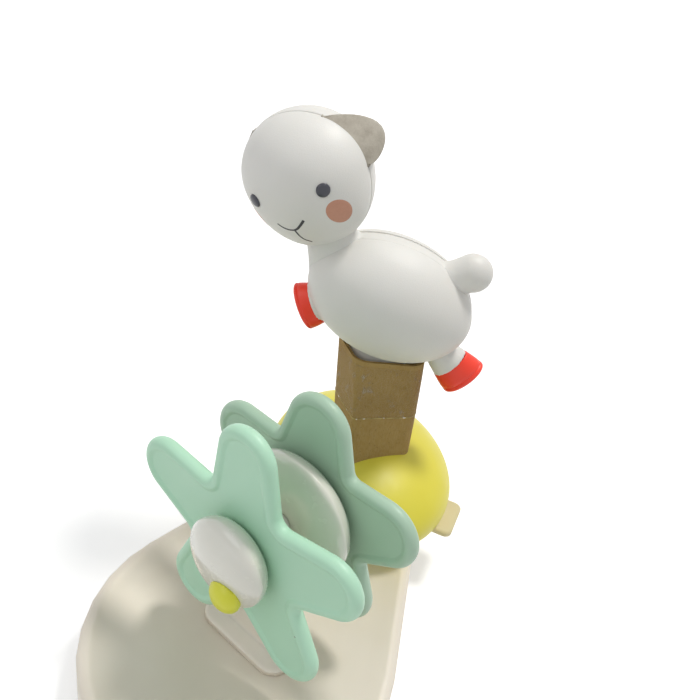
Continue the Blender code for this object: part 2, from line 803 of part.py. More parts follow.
def ear_loops(side):
    """Outlines through the thickness of a flat felt ear that is held in the head's seam and sweeps back."""
    high, low = (Vector((side * head_radius * math.cos(angle), -seam_setback, head_radius * math.sin(angle)))
                 for angle in (ear_root_high, ear_root_low))
    half = (low - high).length / 2
    along = (low - high).normalized()
    outward = Vector((side, 0, 0))
    outward = (outward - along * along.dot(outward)).normalized()
    way = outward * math.cos(ear_sweep) + Vector((0, 1, 0)) * math.sin(ear_sweep)
    normal = along.cross(way)
    centre = (high + low) / 2
    thick = ear_thickness / 2
    loops = []
    for inset, lift in ((ear_edge_round, -thick), (0, ear_edge_round - thick), (0, thick - ear_edge_round),
                        (ear_edge_round, thick)):
        reach, spread = ear_length - inset, half - inset
        edge = [(-spread, -ear_bury)]
        for k in range(ear_points + 1):
            angle = math.pi * k / ear_points
            edge.append((ear_lean * math.sin(angle) - spread * math.cos(angle),
                         reach * math.sin(angle) ** ear_tip_share))
        edge.append((spread, -ear_bury))
        loops.append([centre + along * a + way * b + normal * lift for a, b in edge])
    return loops


def make_head(white, dark, felt, steel, lamb):
    seat = Matrix.Translation(neck_seat - Vector((0, 0, collar_bottom + spring_seat_depth)))
    seat = seat @ Matrix.Rotation(-neck_lean, 4, "Y")
    flange = gap + head_wall + gap
    pin_profile = [(0, -neck_pin_below), (neck_pin_radius, -neck_pin_below), (neck_pin_radius, flange),
                   (neck_pin_flange_radius, flange), (neck_pin_flange_radius, flange + neck_pin_flange_thickness),
                   (0, flange + neck_pin_flange_thickness)]
    add_object("neck_pin", turned(pin_profile, 20), steel, parent=lamb, place=seat)
    hole = neck_pin_radius + gap
    bore = add_object("cut_neck_bore", turned(
        [(0, -neck_pin_below - gap), (hole, -neck_pin_below - gap), (hole, overrun), (0, overrun)], 20),
        None, parent=lamb, place=seat)
    core = bpy.data.objects["body_core"]
    cut(core, bore)
    grown = ball_profile(head_radius + gap, head_jaw_height + gap, head_crown_height + gap,
                         head_seat_drop, head_rings)
    socket = add_object("cut_neck_seat", turned([(0, grown[0][1])] + grown, 36), None, parent=lamb,
                        place=seat @ Matrix.Translation((0, 0, gap + head_seat_drop)))
    cut(core, socket)

    axis = add_empty("head_axis", seat @ Matrix.Rotation(-head_turn, 4, "Z"), lamb)
    middle = Matrix.Translation((0, 0, gap + head_seat_drop))
    outer = ball_profile(head_radius, head_jaw_height, head_crown_height, head_seat_drop, head_rings)
    inner = ball_profile(head_radius - head_wall, head_jaw_height - head_wall, head_crown_height - head_wall,
                         head_seat_drop - head_wall, cavity_rings)
    hole = neck_pin_radius + run_gap
    cavity = add_object("cut_head_cavity", turned([(0, inner[0][1])] + inner, 24),
                        None, parent=axis, place=middle)
    low = -head_seat_drop - overrun
    high = -head_seat_drop + head_wall + overrun
    spindle = add_object("cut_head_hole", turned([(0, low), (hole, low), (hole, high), (0, high)], 20),
                         None, parent=axis, place=middle)
    reach = head_radius + overrun
    halves = (("head_front", -reach, -seam_setback - gap / 2), ("head_back", gap / 2 - seam_setback, reach))
    for name, low, high in halves:
        shell = add_object(name, turned([(0, outer[0][1])] + outer, head_segments), white,
                           parent=axis, place=middle)
        block = add_object(f"cut_{name}", box_mesh((-reach, low, -head_seat_drop - overrun), (reach, high, reach)),
                           None, parent=axis, place=middle)
        cut(shell, cavity)
        cut(shell, spindle)
        cut(shell, block, "INTERSECT")

    for name, side in (("eye_left", -1), ("eye_right", 1)):
        point, way = head_surface(side * eye_azimuth, eye_rise, gap)
        turn = way.to_track_quat("Z", "Y").to_matrix().to_4x4()
        quarter = [math.pi / 2 * k / eye_rings for k in range(eye_rings)]
        profile = [(0, 0)] + [(eye_radius * math.cos(angle), eye_height * math.sin(angle)) for angle in quarter]
        profile.append((0, eye_height))
        add_object(name, turned(profile, 16), dark, parent=axis, place=middle @ Matrix.Translation(point) @ turn)

    growth = head_radius + gap
    form = [(r * growth / head_radius, z * growth / head_radius) for r, z in
            ball_profile(head_radius, head_jaw_height, head_crown_height, head_seat_drop, head_rings)]
    clear = add_object("cut_ear_root", turned([(0, form[0][1])] + form, 48), None, parent=axis, place=middle)
    for name, side in (("ear_left", -1), ("ear_right", 1)):
        ear = add_object(name, stack_mesh(ear_loops(side)), felt, parent=axis, place=middle)
        cut(ear, clear)


# Flowers

def petal_outline(tip_centre, tip_radius, valley_centre, valley_radius, spin, inset, height):
    """Round lobes joined to round valleys by straight tangents; an inset keeps the outline parallel."""
    half_turn = math.pi / flower_lobes
    tip = Vector((tip_centre, 0))
    valley = Vector((valley_centre * math.cos(half_turn), valley_centre * math.sin(half_turn)))
    across = valley - tip
    heading = math.atan2(across.y, across.x) - math.acos((tip_radius + valley_radius) / across.length)
    out = tip_radius - inset
    back = valley_radius + inset
    half = arc(tip.x, tip.y, out, 0, heading, tip_points)
    half += arc(valley.x, valley.y, back, heading + math.pi, half_turn + math.pi, valley_points)
    lobe = [(x, -y) for x, y in reversed(half)][1:-1] + half
    points = []
    for k in range(flower_lobes):
        turn = spin + 2 * half_turn * k
        points += [Vector((x * math.cos(turn) - y * math.sin(turn),
                           x * math.sin(turn) + y * math.cos(turn), height))
                   for x, y in lobe]
    return points


def dome_profile(radius, spare=0.0):
    """Outer profile of a dome from its foot on the web to its crown."""
    wide = radius + spare
    crown = dome_height + spare
    points = [(wide * dome_foot_share, petal_web_half + gap), (wide * dome_swell_share,
              (petal_web_half + gap + dome_widest) / 2), (wide, dome_widest)]
    for k in range(1, dome_rings):
        angle = math.pi / 2 * k / dome_rings
        points.append((wide * math.cos(angle), dome_widest + (crown - dome_widest) * math.sin(angle)))
    return points + [(0, crown)]


def make_flower(name, sizes, dome_radius, bore_top, mint, white, bronze, axis):
    thick = petal_half_thickness
    rim = []
    for k in range(petal_edge_steps + 1):
        angle = -math.pi / 2 + math.pi * k / petal_edge_steps
        rim.append((thick * (1 - math.cos(angle)), thick * math.sin(angle)))
    slope = petal_rim_width - thick
    flat = thick + slope * petal_flat_share
    rings = [(petal_rim_width, -petal_web_half), (flat, -thick)] + rim
    rings += [(flat, thick), (petal_rim_width, petal_web_half)]
    disc = add_object(f"{name}_petals", stack_mesh([petal_outline(*sizes, inset, z) for inset, z in rings]), mint,
                      parent=axis)
    hub = add_object(f"cut_{name}_hub", turned(
        [(0, -thick), (petal_hub_radius, -thick), (petal_hub_radius, 0), (0, 0)], 28), None, parent=axis)
    cut(disc, hub, "UNION")
    bore = add_object(f"cut_{name}_bore", turned(
        [(0, -thick - overrun), (bush_radius + gap, -thick - overrun), (bush_radius + gap, thick + overrun),
         (0, thick + overrun)], 24), None, parent=axis)
    cut(disc, bore)

    hole = bush_radius + gap
    foot = petal_web_half + gap
    outer = dome_profile(dome_radius)
    if bore_top < dome_height:
        profile = [(0, bore_top), (hole, bore_top), (hole, foot)] + outer
        add_object(f"{name}_dome", turned(profile, dome_segments), white, parent=axis)
    else:
        profile = [(hole, foot)] + outer[:-1] + [(hole, bore_top)]
        add_object(f"{name}_dome", turned(profile, dome_segments, closed=True), white, parent=axis)

    inside = axle_radius + run_gap
    top = min(bore_top, dome_height) - gap
    add_object(f"{name}_bush", turned(
        [(inside, -thick), (bush_radius, -thick), (bush_radius, top), (inside, top)], 18, closed=True),
        bronze, parent=axis)


def flower_frame(distance):
    across = Vector((math.cos(flower_azimuth), -math.sin(flower_azimuth), 0))
    outward = Vector((-math.sin(flower_azimuth), -math.cos(flower_azimuth), 0))
    spot = Vector((hub_x, hub_y, deck_height + hub_height)) + outward * distance
    return Matrix(((across.x, 0, outward.x, spot.x), (across.y, 0, outward.y, spot.y),
                   (0, 1, 0, spot.z), (0, 0, 0, 1)))


def stand_half_width(share):
    """Half width of the stand at a share of the way from its foot to the axle."""
    if share < stand_waist_share:
        t = 1 - share / stand_waist_share
        return stand_waist_half_width + (stand_flare_half_width - stand_waist_half_width) * t * t
    t = (share - stand_waist_share) / (1 - stand_waist_share)
    return stand_waist_half_width + (stand_head_radius - stand_waist_half_width) * t * t


def make_flower_station(mint, white, yellow, cream, steel, bronze):
    rear = add_empty("rear_flower_axis", flower_frame(0))
    near = add_empty("near_flower_axis", flower_frame(flower_spacing))
    rear_star = (rear_tip_centre, rear_tip_radius, rear_valley_centre, rear_valley_radius, rear_spin)
    near_star = (near_tip_centre, near_tip_radius, near_valley_centre, near_valley_radius, near_spin)
    make_flower("rear_flower", rear_star, rear_dome_radius, dome_height, mint, white, bronze, rear)
    make_flower("near_flower", near_star, near_dome_radius, near_bore_top, mint, white, bronze, near)

    base = flower_frame(stand_offset)
    foot_low = -hub_height - tray_lip_drop + gap
    foot_top = foot_low + stand_foot_thickness
    def upright(inset, z):
        rise = overrun - foot_top
        shares = [k / stand_steps for k in range(stand_steps + 1)]
        side = [(stand_half_width(share) - inset, rise * (share - 1)) for share in shares]
        head = arc(0, 0, stand_head_radius - inset, 0, math.pi, 15)
        return [Vector((x, y, z)) for x, y in side + head[1:-1] + [(-x, y) for x, y in reversed(side)]]

    thin = stand_half_thickness - stand_edge_round
    stand = add_object("flower_stand", stack_mesh([
        upright(stand_edge_round, -stand_half_thickness), upright(0, -thin), upright(0, thin),
        upright(stand_edge_round, stand_half_thickness)]), cream, place=base)

    def foot_outline(inset, height):
        w = stand_foot_half_width - inset
        d = stand_foot_half_depth - inset
        r = d - overrun
        corners = arc(w - r, d - r, r, 0, math.pi / 2, 6) + arc(-w + r, d - r, r, math.pi / 2, math.pi, 6)
        corners += arc(-w + r, -d + r, r, -math.pi, -math.pi / 2, 6) + arc(w - r, -d + r, r, -math.pi / 2, 0, 6)
        return [Vector((x, height, z)) for x, z in corners]

    foot = add_object("cut_stand_foot", stack_mesh(
        [foot_outline(0, foot_low), foot_outline(0, foot_top - stand_foot_round),
         foot_outline(stand_foot_round, foot_top)]), None, place=base)
    cut(stand, foot, "UNION")
    reach = stand_half_thickness + overrun
    hole = axle_radius + gap
    bore = add_object("cut_axle_bore", turned([(0, -reach), (hole, -reach), (hole, reach), (0, reach)], 20),
                      None, place=base)
    cut(stand, bore)

    thick = petal_half_thickness
    axle_low = -thick - gap - cap_grip
    axle_high = flower_spacing + near_bore_top - gap
    add_object("flower_axle", turned(
        [(0, axle_low), (axle_radius, axle_low), (axle_radius, axle_high), (0, axle_high)], 20), steel,
        place=flower_frame(0))
    cap_top = -thick - run_gap
    cap_low = cap_top - cap_length
    seat = axle_low - gap
    add_object("rear_cap", turned(
        [(0, cap_low), (cap_radius - cap_round, cap_low), (cap_radius, cap_low + cap_round),
         (cap_radius, cap_top), (hole, cap_top), (hole, seat), (0, seat)], 20), cream, place=flower_frame(0))
    stand_low = stand_offset - stand_half_thickness
    stand_high = stand_offset + stand_half_thickness
    spans = (("rear_spacer", dome_height + run_gap, stand_low - gap),
             ("near_spacer", stand_high + gap, flower_spacing - thick - run_gap))
    for name, low, high in spans:
        add_object(name, turned([(hole, low), (spacer_radius, low), (spacer_radius, high), (hole, high)], 18,
                                closed=True), bronze, place=flower_frame(0))

    wide, tall = knob_radius, knob_length
    widest = near_bore_top + tall * knob_widest_share
    profile = [(0, near_bore_top), (wide * knob_foot_share, near_bore_top), (wide, widest)]
    for k in range(1, knob_rings):
        angle = math.pi / 2 * k / knob_rings
        profile.append((wide * math.cos(angle), widest + (near_bore_top + tall - widest) * math.sin(angle)))
    profile.append((0, near_bore_top + tall))
    knob = add_object("near_flower_knob", turned(profile, 20), yellow, parent=near,
                      place=Matrix.Translation((knob_across, -knob_down, 0)))
    form = [(0, 0), (near_dome_radius * dome_foot_share, 0)] + dome_profile(near_dome_radius, gap)
    cut(knob, add_object("cut_knob_seat", turned(form, 48), None, parent=near))


def main():
    clear_scene()
    cream = finish("cream plastic", (0.80, 0.74, 0.62), 0.42)
    yellow = finish("yellow plastic", (0.78, 0.68, 0.08), 0.48)
    mint = finish("mint plastic", (0.40, 0.66, 0.52), 0.50)
    white = finish("white plastic", (0.78, 0.77, 0.73), 0.42)
    gloss = finish("glossy white plastic", (0.78, 0.77, 0.72), 0.12)
    orange = finish("orange plastic", (0.85, 0.07, 0.03), 0.42)
    dark = finish("dark grey plastic", (0.05, 0.05, 0.07), 0.30)
    felt = finish("grey felt", (0.43, 0.40, 0.34), 0.95)
    card = finish("brown card", (0.24, 0.15, 0.06), 0.90)
    rubber = finish("grey rubber", (0.15, 0.15, 0.15), 0.85)
    steel = finish("steel", (0.62, 0.62, 0.64), 0.30, 1.0)
    bronze = finish("nylon", (0.72, 0.70, 0.64), 0.50)

    make_tray(cream, rubber, steel)
    make_base_station(yellow, cream, white)
    make_sleeve(card)
    low = post_top - spring_seat_depth
    spring = add_empty("spring_axis", Matrix.Translation((0, 0, deck_height + low)))
    make_spring(steel, spring)
    lamb = add_empty("lamb_axis", Matrix.Translation((0, 0, collar_bottom + spring_seat_depth - low)), spring)
    make_body(white, orange, lamb)
    make_collar(white, lamb)
    make_head(white, dark, felt, steel, lamb)
    make_flower_station(mint, gloss, yellow, cream, steel, bronze)
    bpy.context.view_layer.update()


main()
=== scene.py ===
import json
from math import acos, asin, atan2, cos, hypot, pi, radians, sin, sqrt, tan

import bmesh
import bpy
from mathutils import Matrix, Vector, noise

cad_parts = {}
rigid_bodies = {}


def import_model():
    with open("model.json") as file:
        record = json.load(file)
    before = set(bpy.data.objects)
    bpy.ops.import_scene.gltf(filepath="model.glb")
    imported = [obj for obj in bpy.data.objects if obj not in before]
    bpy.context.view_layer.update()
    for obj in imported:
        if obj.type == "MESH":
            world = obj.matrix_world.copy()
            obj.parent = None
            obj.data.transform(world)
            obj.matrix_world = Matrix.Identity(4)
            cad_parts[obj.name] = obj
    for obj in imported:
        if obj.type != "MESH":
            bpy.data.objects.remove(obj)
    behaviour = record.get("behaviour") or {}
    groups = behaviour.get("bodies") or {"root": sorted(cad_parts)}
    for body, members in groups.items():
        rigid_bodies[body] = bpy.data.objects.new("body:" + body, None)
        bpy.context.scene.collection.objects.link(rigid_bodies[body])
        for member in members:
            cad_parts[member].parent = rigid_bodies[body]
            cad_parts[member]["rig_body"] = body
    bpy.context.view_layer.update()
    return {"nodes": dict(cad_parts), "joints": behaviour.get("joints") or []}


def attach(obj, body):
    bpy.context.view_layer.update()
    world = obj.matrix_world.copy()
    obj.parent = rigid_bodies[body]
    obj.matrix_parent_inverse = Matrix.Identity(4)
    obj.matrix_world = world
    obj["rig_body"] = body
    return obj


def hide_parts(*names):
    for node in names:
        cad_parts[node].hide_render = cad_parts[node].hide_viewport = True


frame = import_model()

nodes = frame["nodes"]
joints = {joint["name"]: joint for joint in frame["joints"]}

# Sizes in metres, with heights above the tray's deck

deck = 0.030
gap = 0.0003
quarter_turn = pi / 2

bun_long_radius = 0.0580
bun_short_radius = 0.0502
bun_turn = radians(-58.4)
bun_half_height = 0.0290
bun_centre_height = 0.0195
bun_skirt_height = 0.0015
bun_edge_round = 0.0012
bun_hole_radius = 0.0058

body_half_length = 0.0423
body_half_height = 0.0309
body_half_depth = 0.0280
body_centre = Vector((-0.0039, 0, deck + 0.1343))
body_tilt = radians(16.7)
core_half_width = 0.0040
core_setback = 0.0002
shell_edge_round = 0.0004
limb_half_depth = 0.0084
collar_bottom = 0.0915
collar_step = 0.0012
collar_half_length = 0.0150
collar_half_depth = 0.0104
plug_radius = 0.0054
spring_radius = 0.0070
spring_wire_radius = 0.0009
spring_turns = 5
spring_low = 0.0713
spring_high = 0.0927

head_radius = 0.0301
head_half_depth = 0.0275
head_back_depth = 0.0262
head_crown_height = 0.0278
head_jaw_height = 0.0356
head_rise = 0.0023
head_seat_drop = 0.0280
head_turn = radians(13.5)
seam_setback = 0.0018
eye_azimuth = radians(33.9)
eye_rise = radians(-1.6)
eye_radius = 0.0031
eye_height = 0.0011
near_cheek_azimuth, far_cheek_azimuth = radians(42.6), radians(57)
cheek_height = radians(-22.5)
cheek_level = (radians(12.4), radians(-5.0))
cheek_rise = (radians(2.4), radians(9.7))
ear_root_high = radians(57)
ear_root_low = radians(-3)
near_ear_sweep, far_ear_sweep = radians(47), radians(64)
ear_length = 0.0158
ear_lean = 0.0060
ear_thickness = 0.0026

petal_half_thickness = 0.0035
petal_rim_width = 0.0062
petal_web_half = 0.0026
petal_hub_radius = 0.0095
petal_hub_half = 0.0050
dome_height = 0.0178
dome_foot_share = 0.62
flower_lobes = 5


def added(name, data):
    """New object in the scene."""
    made = bpy.data.objects.new(name, data)
    bpy.context.scene.collection.objects.link(made)
    return made


def placed_at(spot, x, y, z):
    """Placement at a spot with the three axes given."""
    return Matrix.Translation(spot) @ Matrix((x, y, z)).transposed().to_4x4()


def spread(low, high, steps, first=0):
    """Evenly spaced numbers from low to high, without the first few where first says so."""
    return [low + (high - low) * k / steps for k in range(first, steps + 1)]


# Camera, with its turns in radians

camera_place = Vector((-0.01814, -0.33178, 0.34008 + deck))
camera_pitch = 0.63
camera_roll = 0.20
focal_pixels = 800.0
picture_pixels = 700.0
sensor_millimetres = 36.0


def make_camera():
    right = Vector((1, 0, 0))
    ahead = Vector((0, cos(camera_pitch), -sin(camera_pitch)))
    up = Vector((0, sin(camera_pitch), cos(camera_pitch)))
    side = right * cos(camera_roll) + up * sin(camera_roll)
    top = up * cos(camera_roll) - right * sin(camera_roll)
    data = bpy.data.cameras.new("camera")
    data.sensor_width = sensor_millimetres
    data.lens = focal_pixels / picture_pixels * sensor_millimetres
    data.clip_start = 0.01
    camera = added("camera", data)
    camera.matrix_world = placed_at(camera_place, side, top, -ahead)
    bpy.context.scene.camera = camera


# Node trees

class Tree:
    """Short calls for the nodes of one tree, of a material or of a shared group."""

    def __init__(self, tree):
        self.tree = tree

    def add(self, kind, inputs=None, **settings):
        node = self.tree.nodes.new(kind)
        for key, value in settings.items():
            setattr(node, key, value)
        for key, value in (inputs or {}).items():
            self.feed(node.inputs[key], value)
        return node

    def feed(self, socket, value):
        if isinstance(value, bpy.types.NodeSocket):
            self.tree.links.new(value, socket)
        elif socket.type == "RGBA" and len(value) == 3:
            socket.default_value = (*value, 1.0)
        else:
            socket.default_value = value

    def place(self):
        return self.add("ShaderNodeTexCoord").outputs["Object"]

    def stretched(self, scale, turn=(0, 0, 0)):
        mapping = {"Vector": self.place(), "Scale": scale, "Rotation": turn}
        return self.add("ShaderNodeMapping", mapping).outputs[0]

    def noise(self, scale, detail=3.0, roughness=0.5, vector=None):
        texture = {"Vector": vector or self.place(), "Scale": scale, "Detail": detail, "Roughness": roughness}
        return self.add("ShaderNodeTexNoise", texture).outputs["Fac"]

    def ramp(self, value, low, high, to_low=0.0, to_high=1.0):
        limits = {"Value": value, "From Min": low, "From Max": high, "To Min": to_low, "To Max": to_high}
        return self.add("ShaderNodeMapRange", limits).outputs[0]

    def mix(self, share, first, second):
        """Blend of two colours, which are sockets 6 and 7 of the node, with the blend on output 2."""
        return self.add("ShaderNodeMix", {0: share, 6: first, 7: second}, data_type="RGBA").outputs[2]

    def math(self, operation, first, second=0.0, third=0.0):
        return self.add("ShaderNodeMath", {0: first, 1: second, 2: third}, operation=operation).outputs[0]


def make_group(name, inputs, outputs, build):
    """A shared effect: build gets the tree and its input sockets, and returns its output sockets."""
    group = bpy.data.node_groups.new(name, "ShaderNodeTree")
    for way, sockets in (("INPUT", inputs), ("OUTPUT", outputs)):
        for label, kind in sockets.items():
            group.interface.new_socket(label, in_out=way, socket_type=f"NodeSocket{kind}")
    results = build(Tree(group), group.nodes.new("NodeGroupInput").outputs)
    leave = group.nodes.new("NodeGroupOutput")
    for label, socket in zip(outputs, results):
        group.links.new(socket, leave.inputs[label])
    return group


grain_fineness = 2300.0
grain_roughness = 0.45


def build_moulding(t, given):
    """Moulded plastic: slow drift of tone, cloudy gloss, spark-eroded grain and the mould's soft waves."""
    drift = t.ramp(t.noise(24.0, 2.0), 0.35, 0.65)
    colour = t.mix(drift, given["Deep"], given["Pale"])
    cloud = t.ramp(t.noise(140.0, 4.0), 0.3, 0.7, -0.04, 0.05)
    wiped = t.stretched((1.0, 0.35, 1.0), (0.4, 0.7, 0.2))
    handled = t.ramp(t.noise(60.0, 5.0, 0.65, wiped), 0.62, 0.8, 0.0, 0.06)
    gloss = t.math("ADD", t.math("ADD", given["Gloss"], cloud), handled)
    grain = t.noise(grain_fineness, 2.0, grain_roughness)
    waves = t.noise(45.0, 1.0)
    height = t.math("MULTIPLY_ADD", grain, given["Grain"], t.math("MULTIPLY", waves, given["Waves"]))
    return colour, gloss, height


def build_specks(t, given):
    """Sparse specks: one small dot in a few of the cells."""
    cells = t.add("ShaderNodeTexVoronoi", {"Vector": t.place(), "Scale": given["Closeness"]})
    dot = t.math("LESS_THAN", cells.outputs["Distance"], given["Size"])
    draw = t.add("ShaderNodeSeparateColor", {0: cells.outputs["Color"]}).outputs[0]
    pick = t.math("GREATER_THAN", draw, given["Rarity"])
    cover = 0.75
    share = t.math("MULTIPLY", t.math("MULTIPLY", dot, pick), cover)
    return (t.mix(share, given["Surface"], given["Speck"]),)


moulding = make_group(
    "moulding", dict(Deep="Color", Pale="Color", Gloss="Float", Grain="Float", Waves="Float"),
    dict(Colour="Color", Gloss="Float", Height="Float"), build_moulding)
specks = make_group(
    "specks", dict(Surface="Color", Speck="Color", Closeness="Float", Size="Float", Rarity="Float"),
    dict(Colour="Color"), build_specks)


class Finish(Tree):
    """A material with its shader; keyword values are constants on the shader's own sockets."""

    def __init__(self, name, **constants):
        self.material = bpy.data.materials.new(name)
        self.material.use_nodes = True
        super().__init__(self.material.node_tree)
        self.shader = self.tree.nodes["Principled BSDF"]
        for key, value in constants.items():
            self.feed(self.shader.inputs[key.replace("_", " ")], value)

    def to(self, socket, value):
        self.tree.links.new(value, self.shader.inputs[socket])

    def bump(self, height, distance):
        self.to("Normal", self.add("ShaderNodeBump", {"Height": height, "Distance": distance}).outputs[0])

    def effect(self, group, **values):
        """Outputs of a shared effect placed in this material with its own values."""
        return self.add("ShaderNodeGroup", values, node_tree=group).outputs


dust_grey = (0.16, 0.14, 0.12)
grain_height = 0.00004


def moulded(name, deep, pale, gloss, grain=1.0, waves=0.3, soft=0.0, dust_rarity=None, coat=0.0):
    """Moulded plastic; soft lets light into it, and a dust_rarity near 1 leaves only a few specks."""
    f = Finish(name, Coat_Weight=coat, Coat_Roughness=0.04)
    if soft:
        f.feed(f.shader.inputs["Subsurface Weight"], soft)
        f.feed(f.shader.inputs["Subsurface Radius"], (1.0, 0.8, 0.6))
        f.feed(f.shader.inputs["Subsurface Scale"], 0.003)
    surface = f.effect(moulding, Deep=deep, Pale=pale, Gloss=gloss, Grain=grain, Waves=waves)
    colour = surface["Colour"]
    if dust_rarity:
        dust = f.effect(specks, Surface=colour, Speck=dust_grey, Closeness=60.0, Size=0.022,
                        Rarity=dust_rarity)
        colour = dust["Colour"]
    f.to("Base Color", colour)
    f.to("Roughness", surface["Gloss"])
    f.bump(surface["Height"], grain_height)
    return f.material


def make_felt():
    """Pressed felt: short fibres in three directions over a mottled ground."""
    f = Finish("ear_felt", Roughness=0.95, Sheen_Weight=0.35, Sheen_Roughness=0.5)
    mottle = f.ramp(f.noise(180.0, 4.0, 0.6), 0.35, 0.65)
    ground = f.mix(mottle, (0.42, 0.375, 0.305), (0.53, 0.485, 0.405))
    fibres = None
    for turn in ((0.3, 0.2, 0.0), (1.2, 0.5, 1.0), (0.1, 1.3, 2.1)):
        strand = f.noise(900.0, 2.0, 0.6, f.stretched((1.0, 6.0, 6.0), turn))
        fibres = strand if fibres is None else f.math("MAXIMUM", fibres, strand)
    pale = f.ramp(fibres, 0.60, 0.78)
    f.to("Base Color", f.mix(f.math("MULTIPLY", pale, 0.5), ground, (0.68, 0.64, 0.565)))
    f.bump(f.math("ADD", fibres, f.noise(420.0, 3.0)), 0.00022)
    return f.material


def make_card():
    """Brown kraft liner: pale fibres, dark flecks, and deeper patches where it was handled."""
    f = Finish("kraft_card")
    patch = f.ramp(f.noise(38.0, 3.0, 0.6), 0.38, 0.66)
    colour = f.mix(patch, (0.318, 0.198, 0.054), (0.400, 0.258, 0.082))
    fibre = f.noise(900.0, 3.0, 0.7, f.stretched((1.0, 1.0, 0.35)))
    colour = f.mix(f.ramp(fibre, 0.35, 0.7, 0.0, 0.55), colour, (0.430, 0.300, 0.120))
    flecks = f.noise(1500.0, 1.0, 0.5, f.stretched((1.0, 1.0, 0.5), (0.5, 0.3, 0.1)))
    fleck = f.math("GREATER_THAN", flecks, 0.70)
    colour = f.mix(f.math("MULTIPLY", fleck, 0.5), colour, (0.11, 0.065, 0.022))
    f.to("Base Color", colour)
    f.to("Roughness", f.ramp(f.noise(220.0, 3.0), 0.3, 0.7, 0.74, 0.9))
    f.bump(f.math("ADD", fibre, f.noise(60.0, 3.0)), 0.00012)
    return f.material


def make_film():
    """Clear packing tape: nearly unseen, with pale patches that are partly milky tape lifted off the card and
    partly a painted highlight on the tape's gloss.
    """
    f = Finish("clear_tape", Roughness=0.22)
    # Pale patches: partly milky lifted tape, partly a painted highlight standing for the tape's sheen.
    milky_and_painted_sheen = f.ramp(f.noise(150.0, 4.0, 0.65), 0.58, 0.72)
    f.to("Base Color", f.mix(milky_and_painted_sheen, (0.30, 0.21, 0.15), (0.70, 0.64, 0.52)))
    f.to("Alpha", f.ramp(milky_and_painted_sheen, 0.0, 1.0, 0.04, 0.30))
    f.bump(f.noise(130.0, 3.0, 0.6), 0.0006)
    return f.material


def make_glue():
    """Yellowed glue pressed out at the tape's edge, with paper crumbs stuck in it."""
    f = Finish("tape_glue", Roughness=0.4)
    line = f.mix(f.ramp(f.noise(300.0, 3.0, 0.6), 0.35, 0.65), (0.30, 0.21, 0.055), (0.50, 0.38, 0.12))
    crumb = (1.0, 0.98, 0.93)
    crumbs = f.effect(specks, Surface=line, Speck=crumb, Closeness=520.0, Size=0.42, Rarity=0.70)
    f.to("Base Color", crumbs["Colour"])
    f.bump(f.noise(900.0, 2.0), 0.0001)
    return f.material


def make_steel():
    """Plated steel with fine brush marks along its length."""
    f = Finish("plated_steel", Metallic=1.0)
    brushed = f.noise(1100.0, 3.0, 0.6, f.stretched((1.0, 1.0, 0.2)))
    f.to("Base Color", f.mix(brushed, (0.46, 0.46, 0.48), (0.66, 0.66, 0.68)))
    f.to("Roughness", f.ramp(brushed, 0.3, 0.7, 0.22, 0.38))
    f.bump(brushed, 0.00001)
    return f.material


def make_print(name, deep, pale, gloss):
    """Pad-printed ink: slightly uneven cover over the plastic's grain."""
    f = Finish(name)
    cover = f.ramp(f.noise(650.0, 3.0, 0.6), 0.3, 0.7)
    f.to("Base Color", f.mix(cover, deep, pale))
    f.to("Roughness", f.ramp(cover, 0.0, 1.0, gloss - 0.05, gloss + 0.05))
    f.bump(f.noise(grain_fineness, 2.0, grain_roughness), grain_height / 2)
    return f.material


lamb_white = moulded("lamb_white", (0.755, 0.738, 0.695), (0.790, 0.776, 0.738), 0.47, grain=2.0, waves=0.5,
                     soft=0.12, dust_rarity=0.95)
# Both flowers are one mint plastic: the near flower's copy is made lighter as painted light, and the rear
# flower's copy darker and greyer as painted shade.
near_mint_painted_light = moulded("near_mint_painted_light", (0.475, 0.770, 0.565), (0.505, 0.795, 0.595), 0.42, grain=0.8, waves=0.4,
                    soft=0.08, dust_rarity=0.97)
rear_mint_painted_shade = moulded("rear_mint_painted_shade", (0.405, 0.575, 0.435), (0.435, 0.605, 0.465), 0.42, grain=0.8, waves=0.4,
                    soft=0.08, dust_rarity=0.94)
bun_yellow = moulded("bun_yellow", (0.775, 0.690, 0.060), (0.810, 0.730, 0.085), 0.40, grain=0.9, waves=0.5,
                     soft=0.05)
knob_yellow = moulded("knob_yellow", (0.760, 0.760, 0.045), (0.795, 0.790, 0.070), 0.36, grain=0.8, soft=0.05)
tray_cream = moulded("tray_cream", (0.830, 0.755, 0.640), (0.860, 0.790, 0.685), 0.42, grain=0.9, waves=0.4,
                     soft=0.06)
# The latch tab is the tray's cream plastic made yellower and darker: painted light bounced from the yellow
# bun.
tab_cream_painted_bounce = moulded("tab_cream_painted_bounce", (0.735, 0.635, 0.350), (0.765, 0.670, 0.385), 0.42, grain=0.9, waves=0.4,
                    soft=0.06)
hoof_orange = moulded("hoof_orange", (0.985, 0.050, 0.022), (1.000, 0.062, 0.030), 0.38, grain=0.8, waves=0.4,
                      soft=0.05)
eye_dark = moulded("eye_dark", (0.042, 0.043, 0.058), (0.056, 0.057, 0.074), 0.30, grain=0.9, waves=0.2)
dome_white = moulded("dome_white", (0.740, 0.728, 0.640), (0.775, 0.762, 0.680), 0.24, grain=0.1, waves=0.5,
                     soft=0.08, coat=1.0)
bush_nylon = moulded("bush_nylon", (0.620, 0.600, 0.540), (0.660, 0.640, 0.580), 0.50)
foot_rubber = moulded("foot_rubber", (0.055, 0.055, 0.055), (0.080, 0.080, 0.080), 0.75, grain=1.6)
ear_felt = make_felt()
kraft_card = make_card()
clear_tape = make_film()
tape_glue = make_glue()
plated_steel = make_steel()
mouth_ink = make_print("mouth_ink", (0.035, 0.035, 0.040), (0.050, 0.050, 0.056), 0.45)
